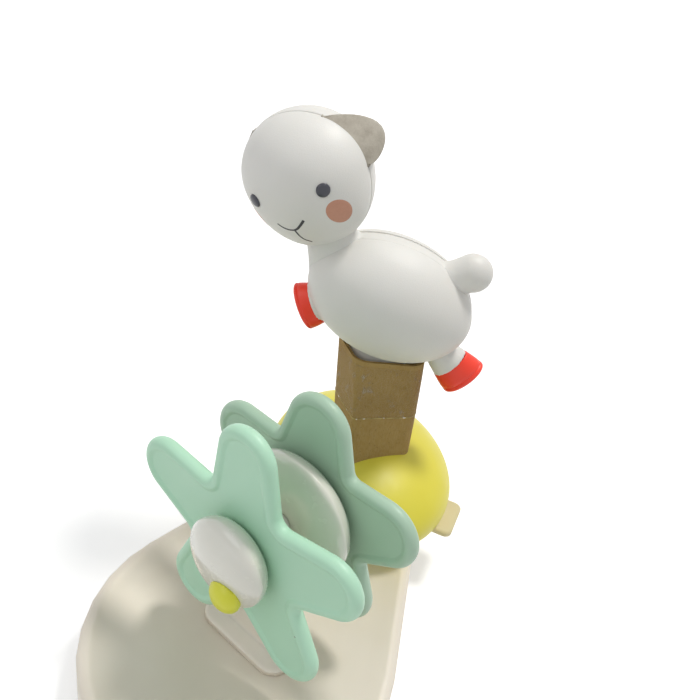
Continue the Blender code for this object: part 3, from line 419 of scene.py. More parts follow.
cheek_ink = make_print("cheek_ink", (0.545, 0.262, 0.172), (0.580, 0.285, 0.190), 0.50)


# Meshes

def finished(shape):
    """Mesh of a shape that is done."""
    mesh = bpy.data.meshes.new("form")
    shape.to_mesh(mesh)
    shape.free()
    return mesh


def as_shown(item):
    """Mesh of an object with its modifiers or bevel, which the object itself makes way for."""
    mesh = bpy.data.meshes.new_from_object(item.evaluated_get(bpy.context.evaluated_depsgraph_get()))
    bpy.data.objects.remove(item)
    return mesh


def rows_mesh(rows, ring=False):
    """Joins loops side by side; a loop of one point closes to a tip, and open ends get a flat face."""
    shape = bmesh.new()
    made = [[shape.verts.new(point) for point in row] for row in rows]
    pairs = list(zip(made, made[1:]))
    if ring:
        pairs.append((made[-1], made[0]))
    for low, high in pairs:
        count = max(len(low), len(high))
        for k in range(count):
            after = (k + 1) % count
            corners = [low[k % len(low)], low[after % len(low)],
                       high[after % len(high)], high[k % len(high)]]
            corners = list(dict.fromkeys(corners))
            if len(corners) > 2:
                shape.faces.new(corners)
    if not ring:
        for row in (made[0], made[-1]):
            if len(row) > 2:
                shape.faces.new(row)
    bmesh.ops.recalc_face_normals(shape, faces=shape.faces)
    return finished(shape)


def oval(x_half, y_half, height, count):
    """Loop of points at a height, or one point where it has no width."""
    if x_half <= 0:
        return [Vector((0, 0, height))]
    turn = 2 * pi / count
    return [Vector((x_half * cos(turn * k), y_half * sin(turn * k), height))
            for k in range(count)]


def turned(profile, count):
    """Turns a profile of (radius, height) about Z."""
    return rows_mesh([oval(radius, radius, height, count) for radius, height in profile])


def ribbon_mesh(points, ups, half_widths, half_height):
    """A flat bead along points, with an up direction and a half width at each."""
    sides, rows, last = 10, [], len(points) - 1
    turn = 2 * pi / sides
    for k, (point, up, half) in enumerate(zip(points, ups, half_widths)):
        along = (points[min(k + 1, last)] - points[max(k - 1, 0)]).normalized()
        across = along.cross(up).normalized()
        rows.append([point + across * (half * cos(turn * j)) + up * (half_height * sin(turn * j))
                     for j in range(sides)])
    return rows_mesh([[points[0]]] + rows + [[points[-1]]])


def piece(name, mesh, body, finish, slot, *stands_for, place=None, crease):
    """Puts a mesh into the scene as a piece that rides on a body and may stand for CAD nodes."""
    if place is not None:
        mesh.transform(place)
    mesh.materials.clear()
    mesh.materials.append(finish)
    mesh.shade_smooth()
    mesh.set_sharp_from_angle(angle=radians(crease))
    made = added(name, mesh)
    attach(made, body)
    if stands_for:
        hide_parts(*stands_for)


def merged(meshes):
    """One mesh of several, which stay as they are."""
    shape = bmesh.new()
    for mesh in meshes:
        shape.from_mesh(mesh)
    return finished(shape)


def grown_together(mesh, voxel, rounds):
    """One closed skin over overlapping forms, with its inner corners softened."""
    item = added("form", mesh)
    remesh = item.modifiers.new("remesh", "REMESH")
    remesh.mode = "VOXEL"
    remesh.voxel_size = voxel
    soften = item.modifiers.new("soften", "SMOOTH")
    soften.factor = 0.5
    soften.iterations = rounds
    return as_shown(item)


# Lamb's body

body_place = Matrix.Translation(body_centre) @ Matrix.Rotation(body_tilt, 4, "Y")


def body_loop(y, inset, count=112):
    """Section of the body's egg across its width."""
    share = 1 - (y / (body_half_depth - inset)) ** 2
    tip_share = 1e-6
    if share < tip_share:
        return [Vector((0, y, 0))]
    length = (body_half_length - inset) * sqrt(share)
    height = (body_half_height - inset) * sqrt(share)
    return [Vector((point.x, y, point.y)) for point in oval(length, height, 0, count)]


def outline_point(angle):
    """Point of the body's outline in its middle plane."""
    return body_place @ Vector((body_half_length * cos(angle), 0,
                                body_half_height * sin(angle)))


def limb_mesh(angle, drop, sections, count=56):
    """Sections of (distance, half width, half depth) along a line that leaves the outline down by drop."""
    start = outline_point(angle)
    along = Vector((cos(drop), 0, -sin(drop)))
    across = Vector((sin(drop), 0, cos(drop)))
    rows = []
    for distance, half_width, half_depth in sections:
        centre = start + along * distance
        rows.append([centre + across * point.x + Vector((0, point.y, 0))
                     for point in oval(half_width, half_depth, 0, count)])
    return rows_mesh(rows)


front_leg = (radians(-137.5), radians(152))
front_leg_sections = ((-0.0165, 0.0108), (0.0004, 0.0108))
hind_leg = (radians(-31.4), radians(39))
hind_leg_sections = ((-0.0140, 0.0068), (-0.0026, 0.0068), (0.0030, 0.0086), (0.0090, 0.0102))
tail = (radians(57.8), radians(-28.5))
tail_bury = 0.0073
tail_reach = 0.0166
tail_root_half_width = 0.0086
tail_root_depth_share = 0.92
tail_end_radius = 0.0097
neck_angle = radians(153.1)
neck_sections = ((-0.0143, 0.0172), (-0.0043, 0.0140), (0.0057, 0.0116), (0.0087, 0.0116))
neck_half_depth = 0.0092
neck_axis = Vector(joints["head_turn"]["axis"])
neck_seat = Vector(joints["head_turn"]["pos_m"])
neck_lean = atan2(-neck_axis.x, neck_axis.z)
head_centre = neck_seat + neck_axis * (gap + head_seat_drop)
head_place = (Matrix.Translation(head_centre) @ Matrix.Rotation(-neck_lean, 4, "Y")
              @ Matrix.Rotation(-head_turn, 4, "Z"))


def tail_sections():
    """Straight root that swells into a ball at its end."""
    rings = 14
    root_half_depth = limb_half_depth * tail_root_depth_share
    sections = [(distance, tail_root_half_width, root_half_depth) for distance in (-tail_bury, 0.0)]
    for angle in spread(0, quarter_turn, rings)[:-1]:
        sections.append((tail_reach - tail_end_radius + tail_end_radius * sin(angle),
                         tail_end_radius * cos(angle), limb_half_depth * cos(angle)))
    return sections + [(tail_reach, 0, 0)]


def make_middle():
    """Middle moulding of the body, with the neck, tail and legs that it carries."""
    half, bevel = core_half_width, 0.0005
    disc = rows_mesh([body_loop(y, core_setback + drop) for y, drop in (
        (-half, bevel), (-half + bevel, 0), (half - bevel, 0), (half, bevel))])
    disc.transform(body_place)
    neck = limb_mesh(neck_angle, pi * 3 / 2 - neck_lean,
                     [(*section, neck_half_depth) for section in neck_sections])
    front = limb_mesh(*front_leg, [(*section, limb_half_depth) for section in front_leg_sections])
    hind = limb_mesh(*hind_leg, [(*section, limb_half_depth) for section in hind_leg_sections])
    rump = limb_mesh(*tail, tail_sections())
    mesh = grown_together(merged([disc, neck, front, hind, rump]), voxel=0.0008, rounds=5)
    into_head = head_place.inverted()
    seat = -head_seat_drop - gap
    for vertex in mesh.vertices:
        spot = into_head @ vertex.co
        if spot.z > seat:
            vertex.co = head_place @ Vector((spot.x, spot.y, seat))
    piece("lamb_middle", mesh, "lamb", lamb_white, "white_plastic", "body_core", crease=60)


def make_sides():
    """Bulging side halves of the body, each with a small round at its seam and a hidden lip behind it."""
    rim = core_half_width + 0.0001
    lip_depth, lip_inset, lip_end_inset = 0.0010, 0.0022, 0.0030
    edge_steps, side_steps = 4, 40
    first = asin((rim + shell_edge_round) / body_half_depth)
    levels = [(rim + lip_depth, lip_end_inset), (rim, lip_inset), (rim, shell_edge_round)]
    levels += [(rim + shell_edge_round * (1 - cos(angle)), shell_edge_round * (1 - sin(angle)))
               for angle in spread(0, quarter_turn, edge_steps, 1)]
    levels += [(body_half_depth * sin(angle), 0.0) for angle in spread(first, quarter_turn, side_steps, 1)]
    for side, name, node in ((-1, "lamb_near_side", "body_shell_near"),
                             (1, "lamb_far_side", "body_shell_far")):
        rows = [body_loop(side * y, inset) for y, inset in levels]
        piece(name, rows_mesh(rows), "lamb", lamb_white, "white_plastic", node, place=body_place, crease=50)


def hoof_sections(start, length, mouth, end):
    """A flared cuff: thin lip at its mouth, a fine groove near its end, and a crowned round end."""
    lip, groove_half, groove_depth, rounding, crown = 0.0005, 0.0005, 0.0005, 0.0017, 0.0004
    lip_steps, cuff_steps, end_steps = 3, 5, 8
    inside_depth, inside_narrower, lip_narrower = 0.0006, 0.0012, 0.0008
    groove_share, crown_shares = 0.74, (0.7, 0.4, 0.15)
    groove = start + length * groove_share

    def width(distance):
        share = (distance - start) / length
        return mouth + (end - mouth) * sin(share * quarter_turn)

    sections = [(start + inside_depth, mouth - inside_narrower), (start, mouth - lip_narrower)]
    for angle in spread(0, quarter_turn, lip_steps, 1):
        sections.append((start + lip * (1 - cos(angle)),
                         width(start + lip) - lip * (1 - sin(angle))))
    for distance in spread(start + lip, groove - groove_half, cuff_steps, 1):
        sections.append((distance, width(distance)))
    sections += [(groove, width(groove) - groove_depth), (groove + groove_half, width(groove + groove_half))]
    shoulder = start + length - rounding
    for angle in spread(0, quarter_turn, end_steps):
        sections.append((shoulder + (rounding - crown) * sin(angle),
                         end - rounding * (1 - cos(angle))))
    for share in crown_shares:
        sections.append((start + length - crown * share ** 2, (end - rounding) * share))
    sections.append((start + length, 0))
    return [(distance, half, limb_half_depth * half / end) for distance, half in sections]


front_hoof = dict(start=gap - 0.0015, length=0.0092, mouth=0.0110, end=0.0128)
hind_hoof = dict(start=gap + 0.0088, length=0.0124, mouth=0.0104, end=0.0124)
front_hoof_shift = 0.0012


def make_hooves():
    """Hooves that cover the ends of the legs; the front one sits a little across its leg."""
    for name, limb, sizes, shift in (("front_hoof", front_leg, front_hoof, front_hoof_shift),
                                     ("hind_hoof", hind_leg, hind_hoof, 0.0)):
        drop = limb[1]
        mesh = limb_mesh(*limb, hoof_sections(**sizes), count=72)
        mesh.transform(Matrix.Translation((shift * sin(drop), 0, shift * cos(drop))))
        piece(f"{name}_cup", mesh, "lamb", hoof_orange, "orange_plastic", name, crease=50)


def make_collar():
    """Oval collar under the belly, on the round plug that the spring holds."""
    plug_length, ring_rise, count, edge_steps = 0.0033, 0.0110, 72, 4
    seat = collar_bottom + plug_length
    post = Vector((0, 0, deck))
    middle = Vector((body_centre.x, 0, deck))
    rows = [[post + point for point in oval(plug_radius, plug_radius, height, count)]
            for height in (collar_bottom, seat)]
    rings = [(collar_step * (1 - sin(angle)), seat + collar_step * (1 - cos(angle)))
             for angle in spread(0, quarter_turn, edge_steps)]
    for inset, height in rings + [(0, seat + ring_rise)]:
        rows.append([middle + point for point in oval(collar_half_length - inset,
                                                      collar_half_depth - inset, height, count)])
    piece("belly_ring", rows_mesh(rows), "lamb", lamb_white, "white_plastic", "belly_collar", crease=40)


def make_spring():
    """Coil between the post and the collar's plug."""
    per_turn = 28
    total = spring_turns * per_turn
    line = bpy.data.curves.new("coil", "CURVE")
    line.dimensions = "3D"
    line.bevel_depth = spring_wire_radius
    line.bevel_resolution = 4
    line.use_fill_caps = True
    spline = line.splines.new("POLY")
    spline.points.add(total)
    for k, spot in enumerate(spline.points):
        angle = 2 * pi * k / per_turn
        spot.co = (spring_radius * cos(angle), spring_radius * sin(angle),
                   deck + spring_low + (spring_high - spring_low) * k / total, 1.0)
    mesh = as_shown(added("form", line))
    piece("sway_coil", mesh, "spring", plated_steel, "steel", "sway_spring", crease=50)


# Lamb's head

def head_point(azimuth, rise, proud=0.0):
    """Point and outward direction on the head, azimuth from the face towards the near cheek."""
    tall = head_jaw_height if rise < 0 else head_crown_height
    flat = cos(rise)
    spot = Vector((head_radius * sin(azimuth) * flat, -head_half_depth * cos(azimuth) * flat,
                   tall * sin(rise)))
    out = Vector((spot.x / head_radius ** 2, spot.y / head_half_depth ** 2, spot.z / tall ** 2)).normalized()
    spot.z += head_rise
    return head_place @ (spot + out * proud), (head_place.to_3x3() @ out).normalized()


def head_ball():
    """Egg of the head on its own axis, cut flat where it sits on the neck."""
    start = -asin((head_seat_drop + head_rise) / head_jaw_height)
    rings, count = 72, 144
    profile = []
    for angle in spread(start, quarter_turn, rings)[:-1]:
        tall = head_jaw_height if angle < 0 else head_crown_height
        profile.append((head_radius * cos(angle), head_rise + tall * sin(angle)))
    mesh = turned([(0, profile[0][1])] + profile + [(0, head_rise + head_crown_height)], count)
    for vertex in mesh.vertices:
        vertex.co.y *= (head_half_depth if vertex.co.y < 0 else head_back_depth) / head_radius
    return mesh


def make_head():
    """Face and back of the head, each with a rolled lip at the seam that holds the ears."""
    lip = 0.0004
    lip_steps = ((0.0003, 0.00008), (0.0001, 0.00032), (0.0, 0.0006))
    for name, node, side in (("head_face", "head_front", -1), ("head_rear", "head_back", 1)):
        shape = bmesh.new()
        shape.from_mesh(head_ball())
        edge = side * gap / 2 - seam_setback
        parts = list(shape.verts) + list(shape.edges) + list(shape.faces)
        bmesh.ops.bisect_plane(shape, geom=parts, plane_co=(0, edge + side * lip, 0), plane_no=(0, side, 0),
                               clear_inner=True, dist=1e-7)
        rim = [e for e in shape.edges if e.is_boundary]
        for behind_edge, inwards in lip_steps:
            grown = bmesh.ops.extrude_edge_only(shape, edges=rim)["geom"]
            rim = [e for e in grown if isinstance(e, bmesh.types.BMEdge)]
            for vertex in {v for e in rim for v in e.verts}:
                vertex.co.y = edge + side * behind_edge
                length = hypot(vertex.co.x, vertex.co.z)
                share = (length - inwards) / length
                vertex.co.x *= share
                vertex.co.z *= share
        bmesh.ops.recalc_face_normals(shape, faces=shape.faces)
        piece(name, finished(shape), "head", lamb_white, "white_plastic", node, place=head_place, crease=50)


def make_eyes():
    """Dark beads that stand a little proud of the face."""
    bury, steps = 0.0006, 12
    profile = [(0, -bury), (eye_radius, -bury)]
    for angle in spread(0, quarter_turn, steps)[:-1]:
        profile.append((eye_radius * cos(angle), eye_height * sin(angle)))
    profile.append((0, eye_height))
    for side, name in ((-1, "eye_left"), (1, "eye_right")):
        spot, out = head_point(side * eye_azimuth, eye_rise, gap / 2)
        place = Matrix.Translation(spot) @ out.to_track_quat("Z", "Y").to_matrix().to_4x4()
        piece(f"{name}_bead", turned(profile, count=64), "head", eye_dark, "dark_plastic", name,
              place=place, crease=60)


def make_cheeks():
    """Printed round cheeks, thin skins that follow the face."""
    thickness, bury, rings, count = 0.00006, 0.0002, 8, 72
    levels = [(share, thickness) for share in spread(0, 1, rings)[:-1]] + [(1, 0), (1, -bury)]
    for side, name, centre in ((-1, "cheek_left", far_cheek_azimuth), (1, "cheek_right", near_cheek_azimuth)):
        rows = []
        for share, proud in levels:
            row = []
            for point in oval(share, share, 0, count):
                azimuth = centre + cheek_level[0] * point.x + cheek_rise[0] * point.y
                rise = cheek_height + cheek_level[1] * point.x + cheek_rise[1] * point.y
                row.append(head_point(side * azimuth, rise, proud)[0])
            rows.append(row)
        piece(name, rows_mesh(rows), "head", cheek_ink, "dark_plastic", crease=60)


mouth_wide, mouth_fine = 0.00054, 0.00038
mouth_join = (-5.5, -28.1)
mouth_strokes = (
    ("mouth_left", ((-19.9, -20.6), (-17.9, -23.2), (-14.6, -25.8), (-10.5, -27.5), mouth_join),
     mouth_fine, mouth_wide),
    ("mouth_right", (mouth_join, (-1.2, -26.7), (3.0, -24.1), (6.3, -21.8), (8.8, -19.8)),
     mouth_wide, mouth_wide * 1.15),
    ("mouth_stem", (mouth_join, (-5.6, -31.9), (-5.6, -36.5), (-3.9, -41.8), (1.5, -47.0)),
     mouth_wide * 0.9, mouth_fine))


def make_mouth():
    """Three printed strokes; their spots are degrees of azimuth and rise, their ends have half widths."""
    steps, tip_steps, proud, half_height = 40, 2, 0.00002, 0.00010
    for name, spots, first, last in mouth_strokes:
        points, ups, halves = [], [], []
        for share in spread(0, 1, steps):
            azimuth, rise = smooth_path(spots, share)
            spot, out = head_point(radians(azimuth), radians(rise), proud)
            points.append(spot)
            ups.append(out)
            cap = min(1.0, min(share, 1 - share) * steps / tip_steps)
            halves.append((first + (last - first) * share) * sqrt(1 - (1 - cap) ** 2) + proud)
        piece(name, ribbon_mesh(points, ups, halves, half_height), "head", mouth_ink, "dark_plastic",
              crease=60)


def smooth_path(spots, share):
    """Point at a share of the way along a smooth curve through the spots."""
    last = len(spots) - 1
    place = share * last
    k = min(int(place), last - 1)
    u = place - k
    a, b, c, d = (Vector(spots[min(max(k + step, 0), last)]) for step in (-1, 0, 1, 2))
    return (b * 2 + (c - a) * u + (a * 2 - b * 5 + c * 4 - d) * u * u + (b * 3 - a - c * 3 + d) * u ** 3) / 2


ear_bury = 0.0012
ear_end_reach = 0.0003
ear_fullness = 1.6
ear_fray = 0.00015
ear_frays_share = 40.0
ear_round_share = 0.10


def seam_point(side, angle):
    """Point on the curve of the head's seam."""
    return Vector((side * head_radius * cos(angle), -seam_setback,
                   head_rise + head_crown_height * sin(angle)))


def ear_sheet(side, sweep):
    """Middle surface of an ear: lines from the seam's curve out to its edge, which leans back."""
    high, low = seam_point(side, ear_root_high), seam_point(side, ear_root_low)
    half = (low - high).length / 2
    along = (low - high).normalized()
    outward = Vector((side, 0, 0))
    outward = (outward - along * along.dot(outward)).normalized()
    leaning = outward * cos(sweep) + Vector((0, 1, 0)) * sin(sweep)
    centre = (high + low) / 2
    steps, layers = 64, 16
    sheet = []
    for share in spread(0, 1, steps):
        root = seam_point(side, ear_root_high + (ear_root_low - ear_root_high) * share) - outward * ear_bury
        turn = pi * share
        reach = max(ear_length * sin(turn) ** ear_fullness, ear_end_reach)
        uneven = noise.noise(Vector((share * ear_frays_share, side, 0.0))) * ear_fray
        edge = (centre + along * (ear_lean * sin(turn) - half * cos(turn))
                + leaning * (reach + uneven))
        sheet.append([root.lerp(edge, part) for part in spread(0, 1, layers)])
    return sheet


def ear_mesh(side, sweep):
    """Felt ear of even thickness, rounded off along its edge."""
    sheet = ear_sheet(side, sweep)
    steps, layers, least = len(sheet) - 1, len(sheet[0]) - 1, 0.00001
    rows = []
    for i, line in enumerate(sheet):
        before, after = sheet[max(i - 1, 0)], sheet[min(i + 1, steps)]
        front, back = [], []
        for j, point in enumerate(line):
            outwards = line[min(j + 1, layers)] - line[max(j - 1, 0)]
            normal = (after[j] - before[j]).cross(outwards).normalized()
            rounding = max(0.0, (j / layers - (1 - ear_round_share)) / ear_round_share)
            thick = ear_thickness / 2 * sqrt(max(0.0, 1 - rounding ** 2)) + least
            front.append(point + normal * thick)
            back.append(point - normal * thick)
        rows.append(front + back[::-1])
    return rows_mesh(rows)


def make_ears():
    for side, name, sweep in ((-1, "ear_left", far_ear_sweep), (1, "ear_right", near_ear_sweep)):
        piece(f"{name}_felt", ear_mesh(side, sweep), "head", ear_felt, "grey_felt", name,
              place=head_place, crease=75)


# Yellow base

bun_foot_inset = bun_edge_round * 2.2
bun_underside_share = 0.82
bun_underside_rise = 0.0006
bun_hole_depth = 0.0030


def make_bun():
    """Egg-shaped yellow cover: turned-in foot, rounded skirt, dome, and the hole for the post."""
    count, edge_steps, rings = 160, 5, 56
    start = asin((bun_skirt_height + bun_edge_round - bun_centre_height) / bun_half_height)
    foot_share = cos(start)
    rows = [oval((bun_long_radius - bun_foot_inset) * bun_underside_share,
                 (bun_short_radius - bun_foot_inset) * bun_underside_share,
                 bun_skirt_height + bun_underside_rise, count)]
    for angle in spread(0, quarter_turn, edge_steps):
        inset = bun_edge_round * (1 - sin(angle))
        rows.append(oval(bun_long_radius * foot_share - inset, bun_short_radius * foot_share - inset,
                         bun_skirt_height + bun_edge_round * (1 - cos(angle)), count))
    last = acos(bun_hole_radius / bun_short_radius)
    for angle in spread(start, last, rings, 1):
        rows.append(oval(bun_long_radius * cos(angle), bun_short_radius * cos(angle),
                         bun_centre_height + bun_half_height * sin(angle), count))
    rows.append(oval(bun_hole_radius, bun_hole_radius, bun_centre_height + bun_half_height - bun_hole_depth,
                     count))
    place = Matrix.Translation((0, 0, deck)) @ Matrix.Rotation(bun_turn, 4, "Z")
    piece("bun_shell", rows_mesh(rows), "station", bun_yellow, "yellow_plastic", "bun_cover",
          place=place, crease=40)


# Card sleeve

sleeve_wall = 0.0014
sleeve_liner = 0.00028
sleeve_foot = dict(x=-0.0051, y=-0.0273, width=0.0352, depth=0.0305, front=28.8, side=119.4, height=0.0400)
sleeve_foot_rounds = (0.0024, 0.0050, 0.0050, 0.0050)
sleeve_rim = dict(x=-0.0140, y=-0.0168, width=0.0402, depth=0.0298, front=14.0, side=120.0, height=0.1041)
sleeve_rim_rounds = (0.0085, 0.0090, 0.0070, 0.0070)
sleeve_rim_fall = 0.0016
sleeve_fold_round = 0.0022
sleeve_crush_share = 0.76
sleeve_crush_ease = 0.8
flute_count = 30
flute_swing_share = 0.42
flute_wall = 0.00016
flute_shares = (0.06, 0.5, 0.995)
tape_low, tape_high = 0.485, 0.955
tape_skew = 0.0006
tape_wave = 0.00025
tape_faces = (0.00010, 0.00004)
glue_profile = ((-0.004, 0.00003), (-0.003, 0.00016), (0.003, 0.00020), (0.005, 0.00003))


def rounded_outline(corners, radii, arc_points, side_points):
    """Closed outline whose corners are arcs, with points along its sides too."""
    bends = []
    for index, (corner, radius) in enumerate(zip(corners, radii)):
        before = (corners[index - 1] - corner).normalized()
        after = (corners[(index + 1) % len(corners)] - corner).normalized()
        half = before.angle(after) / 2
        centre = corner + (before + after).normalized() * (radius / sin(half))
        first = (corner + before * (radius / tan(half)) - centre).normalized()
        last = (corner + after * (radius / tan(half)) - centre).normalized()
        bends.append([centre + radius * first.slerp(last, part) for part in spread(0, 1, arc_points - 1)])
    points = []
    for index, bend in enumerate(bends):
        following = bends[(index + 1) % len(bends)][0]
        points += bend + [bend[-1].lerp(following, k / side_points) for k in range(1, side_points)]
    return points


def sleeve_loop(share, wall):
    """Outline of the sleeve at a share of its height, from the foot at 0 to the rim at 1."""
    at = {key: low + (sleeve_rim[key] - low) * share for key, low in sleeve_foot.items()}
    front, side = (Matrix.Rotation(radians(at[key]), 3, "Z") @ Vector((1, 0, 0))
                   for key in ("front", "side"))
    offset = wall / sin(radians(at["side"] - at["front"]))
    first = Vector((at["x"], at["y"], deck + at["height"])) + (front + side) * offset
    along, deep = front * (at["width"] - 2 * offset), side * (at["depth"] - 2 * offset)
    radii = [low + (high - low) * share - wall for low, high in zip(sleeve_foot_rounds, sleeve_rim_rounds)]
    crushed = max(0.0, (share - sleeve_crush_share) / (1 - sleeve_crush_share)) ** sleeve_crush_ease
    radii[0] = sleeve_fold_round + (sleeve_rim_rounds[0] - sleeve_fold_round) * crushed - wall
    corners = [first, first + along, first + along + deep, first + deep]
    points = rounded_outline(corners, radii, arc_points=12, side_points=26)
    for point in points:
        point.z -= sleeve_rim_fall * share * (point.x - first.x) / at["width"]
    return points


def card_band(outer_wall, inner_wall):
    """Sheet of card between two depths in the sleeve's wall, from the foot to the rim."""
    levels = 44
    shares = spread(0, 1, levels)
    face = [sleeve_loop(share, outer_wall) for share in shares]
    return rows_mesh(face + [sleeve_loop(share, inner_wall) for share in reversed(shares)], ring=True)


def fluting_mesh():
    """Wavy middle sheet between the two liners."""
    steps = 3
    rows = []
    for share in flute_shares:
        near, far = sleeve_loop(share, sleeve_liner), sleeve_loop(share, sleeve_wall - sleeve_liner)
        count = len(near)
        row = []
        for k in range(count * steps):
            low, u = k // steps, (k % steps) / steps
            after = (low + 1) % count
            depth = 0.5 + flute_swing_share * sin(2 * pi * flute_count * k / (count * steps))
            row.append(near[low].lerp(near[after], u).lerp(far[low].lerp(far[after], u), depth))
        rows.append(row)
    back = []
    for row in reversed(rows):
        centre = sum(row, Vector()) / len(row)
        back.append([point + (centre - point).normalized() * flute_wall for point in row])
    return rows_mesh(rows + back, ring=True)


def make_sleeve():
    """Single-wall corrugated card: outer liner, inner liner, and the fluting between, open at the rim."""
    piece("sleeve_outer", card_band(0.0, sleeve_liner), "station", kraft_card, "brown_card", "packing_sleeve",
          crease=40)
    piece("sleeve_inner", card_band(sleeve_wall - sleeve_liner, sleeve_wall), "station", kraft_card,
          "brown_card", crease=40)
    piece("sleeve_fluting", fluting_mesh(), "station", kraft_card, "brown_card", crease=60)


def tape_loop(share, proud):
    """Band round the sleeve, laid a little askew and wavy along its edge."""
    loop = sleeve_loop(share, -proud)
    for index, point in enumerate(loop):
        turn = 2 * pi * index / len(loop)
        point.z += tape_skew * sin(turn + 0.6) + tape_wave * sin(3 * turn)
    return loop


def make_tape():
    """Clear tape round the sleeve, and the line of glue along its lower edge."""
    levels = 12
    shares = spread(tape_low, tape_high, levels)
    outside, inside = tape_faces
    tape = [tape_loop(share, outside) for share in shares]
    tape += [tape_loop(share, inside) for share in reversed(shares)]
    piece("packing_tape", rows_mesh(tape, ring=True), "station", clear_tape, None, crease=60)
    glue = [tape_loop(tape_low + rise, proud) for rise, proud in glue_profile]
    piece("tape_glue_edge", rows_mesh(glue, ring=True), "station", tape_glue, None, crease=60)


# Flowers

rear_star = dict(tip_centre=0.0433, tip_radius=0.0167, valley_centre=0.0399, valley_radius=0.0030,
                 spin=radians(92.6))
rear_dome = dict(radius=0.0320, widest=0.0120)
near_star = dict(tip_centre=0.0490, tip_radius=0.0148, valley_centre=0.0384, valley_radius=0.0045,
                 spin=radians(95.4))
near_dome = dict(radius=0.0208, widest=0.0104)


def arc(x, y, radius, start, end, count):
    """Points on an arc about (x, y)."""
    return [(x + radius * cos(turn), y + radius * sin(turn))
            for turn in spread(start, end, count - 1)]


def petal_outline(tip_centre, tip_radius, valley_centre, valley_radius, spin, inset, height):
    """Round lobes joined to round valleys by straight tangents; an inset keeps the outline parallel."""
    tip_points, valley_points, side_steps = 16, 9, 6
    half_turn = pi / flower_lobes
    tip = Vector((tip_centre, 0))
    valley = Vector((valley_centre * cos(half_turn), valley_centre * sin(half_turn)))
    across = valley - tip
    heading = atan2(across.y, across.x) - acos((tip_radius + valley_radius) / across.length)
    tip_end = tip + Vector((cos(heading), sin(heading))) * (tip_radius - inset)
    half = arc(tip.x, tip.y, tip_radius - inset, 0, heading, tip_points)
    valley_arc = arc(valley.x, valley.y, valley_radius + inset, heading + pi, half_turn + pi,
                     valley_points)
    valley_start = Vector(valley_arc[0])
    half += [tuple(tip_end.lerp(valley_start, k / side_steps)) for k in range(1, side_steps)] + valley_arc
    lobe = [(x, -y) for x, y in reversed(half)][1:-1] + half
    points = []
    for k in range(flower_lobes):
        turn = Matrix.Rotation(spin + 2 * half_turn * k, 3, "Z")
        points += [turn @ Vector((x, y, height)) for x, y in lobe]
    return points


def flower_place(joint):
    """Frame at a flower's hub: across, up and out along the axle."""
    out = Vector(joint["axis"])
    across = Vector((-out.y, out.x, 0))
    return placed_at(joint["pos_m"], across, (0, 0, 1), out)


def petal_rings():
    """Insets and heights of the rim's section, from the back web over the round rim to the front web."""
    slope_steps, edge_steps, flat_share = 9, 16, 0.12
    thick, web = petal_half_thickness, petal_web_half
    flat = thick + (petal_rim_width - thick) * flat_share
    front = []
    for share in spread(0, 1, slope_steps):
        ease = share * share * (3 - 2 * share)
        front.append((flat + (petal_rim_width - flat) * share, thick + (web - thick) * ease))
    edge = [(thick * (1 - cos(angle)), thick * sin(angle))
            for angle in spread(-quarter_turn, quarter_turn, edge_steps)]
    back = [(inset, -height) for inset, height in reversed(front)]
    return back + edge + front


def dome_profile(radius, widest):
    """Half section of a dome: a rounded underside out to its widest ring, then a quarter oval on top."""
    under_steps, top_steps = 14, 36
    foot = petal_web_half + gap
    points = [(0, foot)]
    for angle in spread(0, quarter_turn, under_steps):
        points.append((radius * (dome_foot_share + (1 - dome_foot_share) * sin(angle)),
                       widest - (widest - foot) * cos(angle)))
    for angle in spread(0, quarter_turn, top_steps, 1)[:-1]:
        points.append((radius * cos(angle), widest + (dome_height - widest) * sin(angle)))
    return points + [(0, dome_height)]


def make_flowers():
    """Each flower is a star with a flat hub behind its web, and a dome in front."""
    bevel = 0.0008
    hub = [(0, -petal_hub_half), (petal_hub_radius - bevel, -petal_hub_half),
           (petal_hub_radius, -petal_hub_half + bevel), (petal_hub_radius, 0), (0, 0)]
    # The rear flower takes the mint copy with painted shade, the near flower the copy with painted light.
    for name, star, dome, finish in (("rear_flower", rear_star, rear_dome, rear_mint_painted_shade),
                                     ("near_flower", near_star, near_dome, near_mint_painted_light)):
        place = flower_place(joints[f"{name}_spin"])
        petals = rows_mesh([petal_outline(inset=inset, height=height, **star)
                            for inset, height in petal_rings()])
        piece(f"{name}_star", merged([petals, turned(hub, count=64)]), name, finish, "mint_plastic",
              f"{name}_petals", place=place, crease=40)
        bowl = turned(dome_profile(**dome), count=128)
        piece(f"{name}_bowl", bowl, name, dome_white, "gloss_white_plastic", f"{name}_dome",
              place=place, crease=40)


# The rest of the station keeps the CAD forms

def make_skins():
    """The larger CAD nodes' own forms with welded points and smooth shading."""
    weld_reach = 0.000005
    # The latch tab takes the cream with painted bounce light from the bun.
    for node, finish, slot in (
            ("tray_top", tray_cream, "cream_plastic"), ("tray_base", tray_cream, "cream_plastic"),
            ("bun_base", tray_cream, "cream_plastic"), ("latch_tab", tab_cream_painted_bounce, "cream_plastic"),
            ("flower_stand", tray_cream, "cream_plastic"), ("rear_cap", tray_cream, "cream_plastic"),
            ("near_flower_knob", knob_yellow, "yellow_plastic"), ("stalk_post", lamb_white, "white_plastic")):
        shape = bmesh.new()
        shape.from_mesh(nodes[node].data)
        bmesh.ops.remove_doubles(shape, verts=shape.verts, dist=weld_reach)
        piece(f"{node}_skin", finished(shape), nodes[node]["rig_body"], finish, slot, node, crease=30)


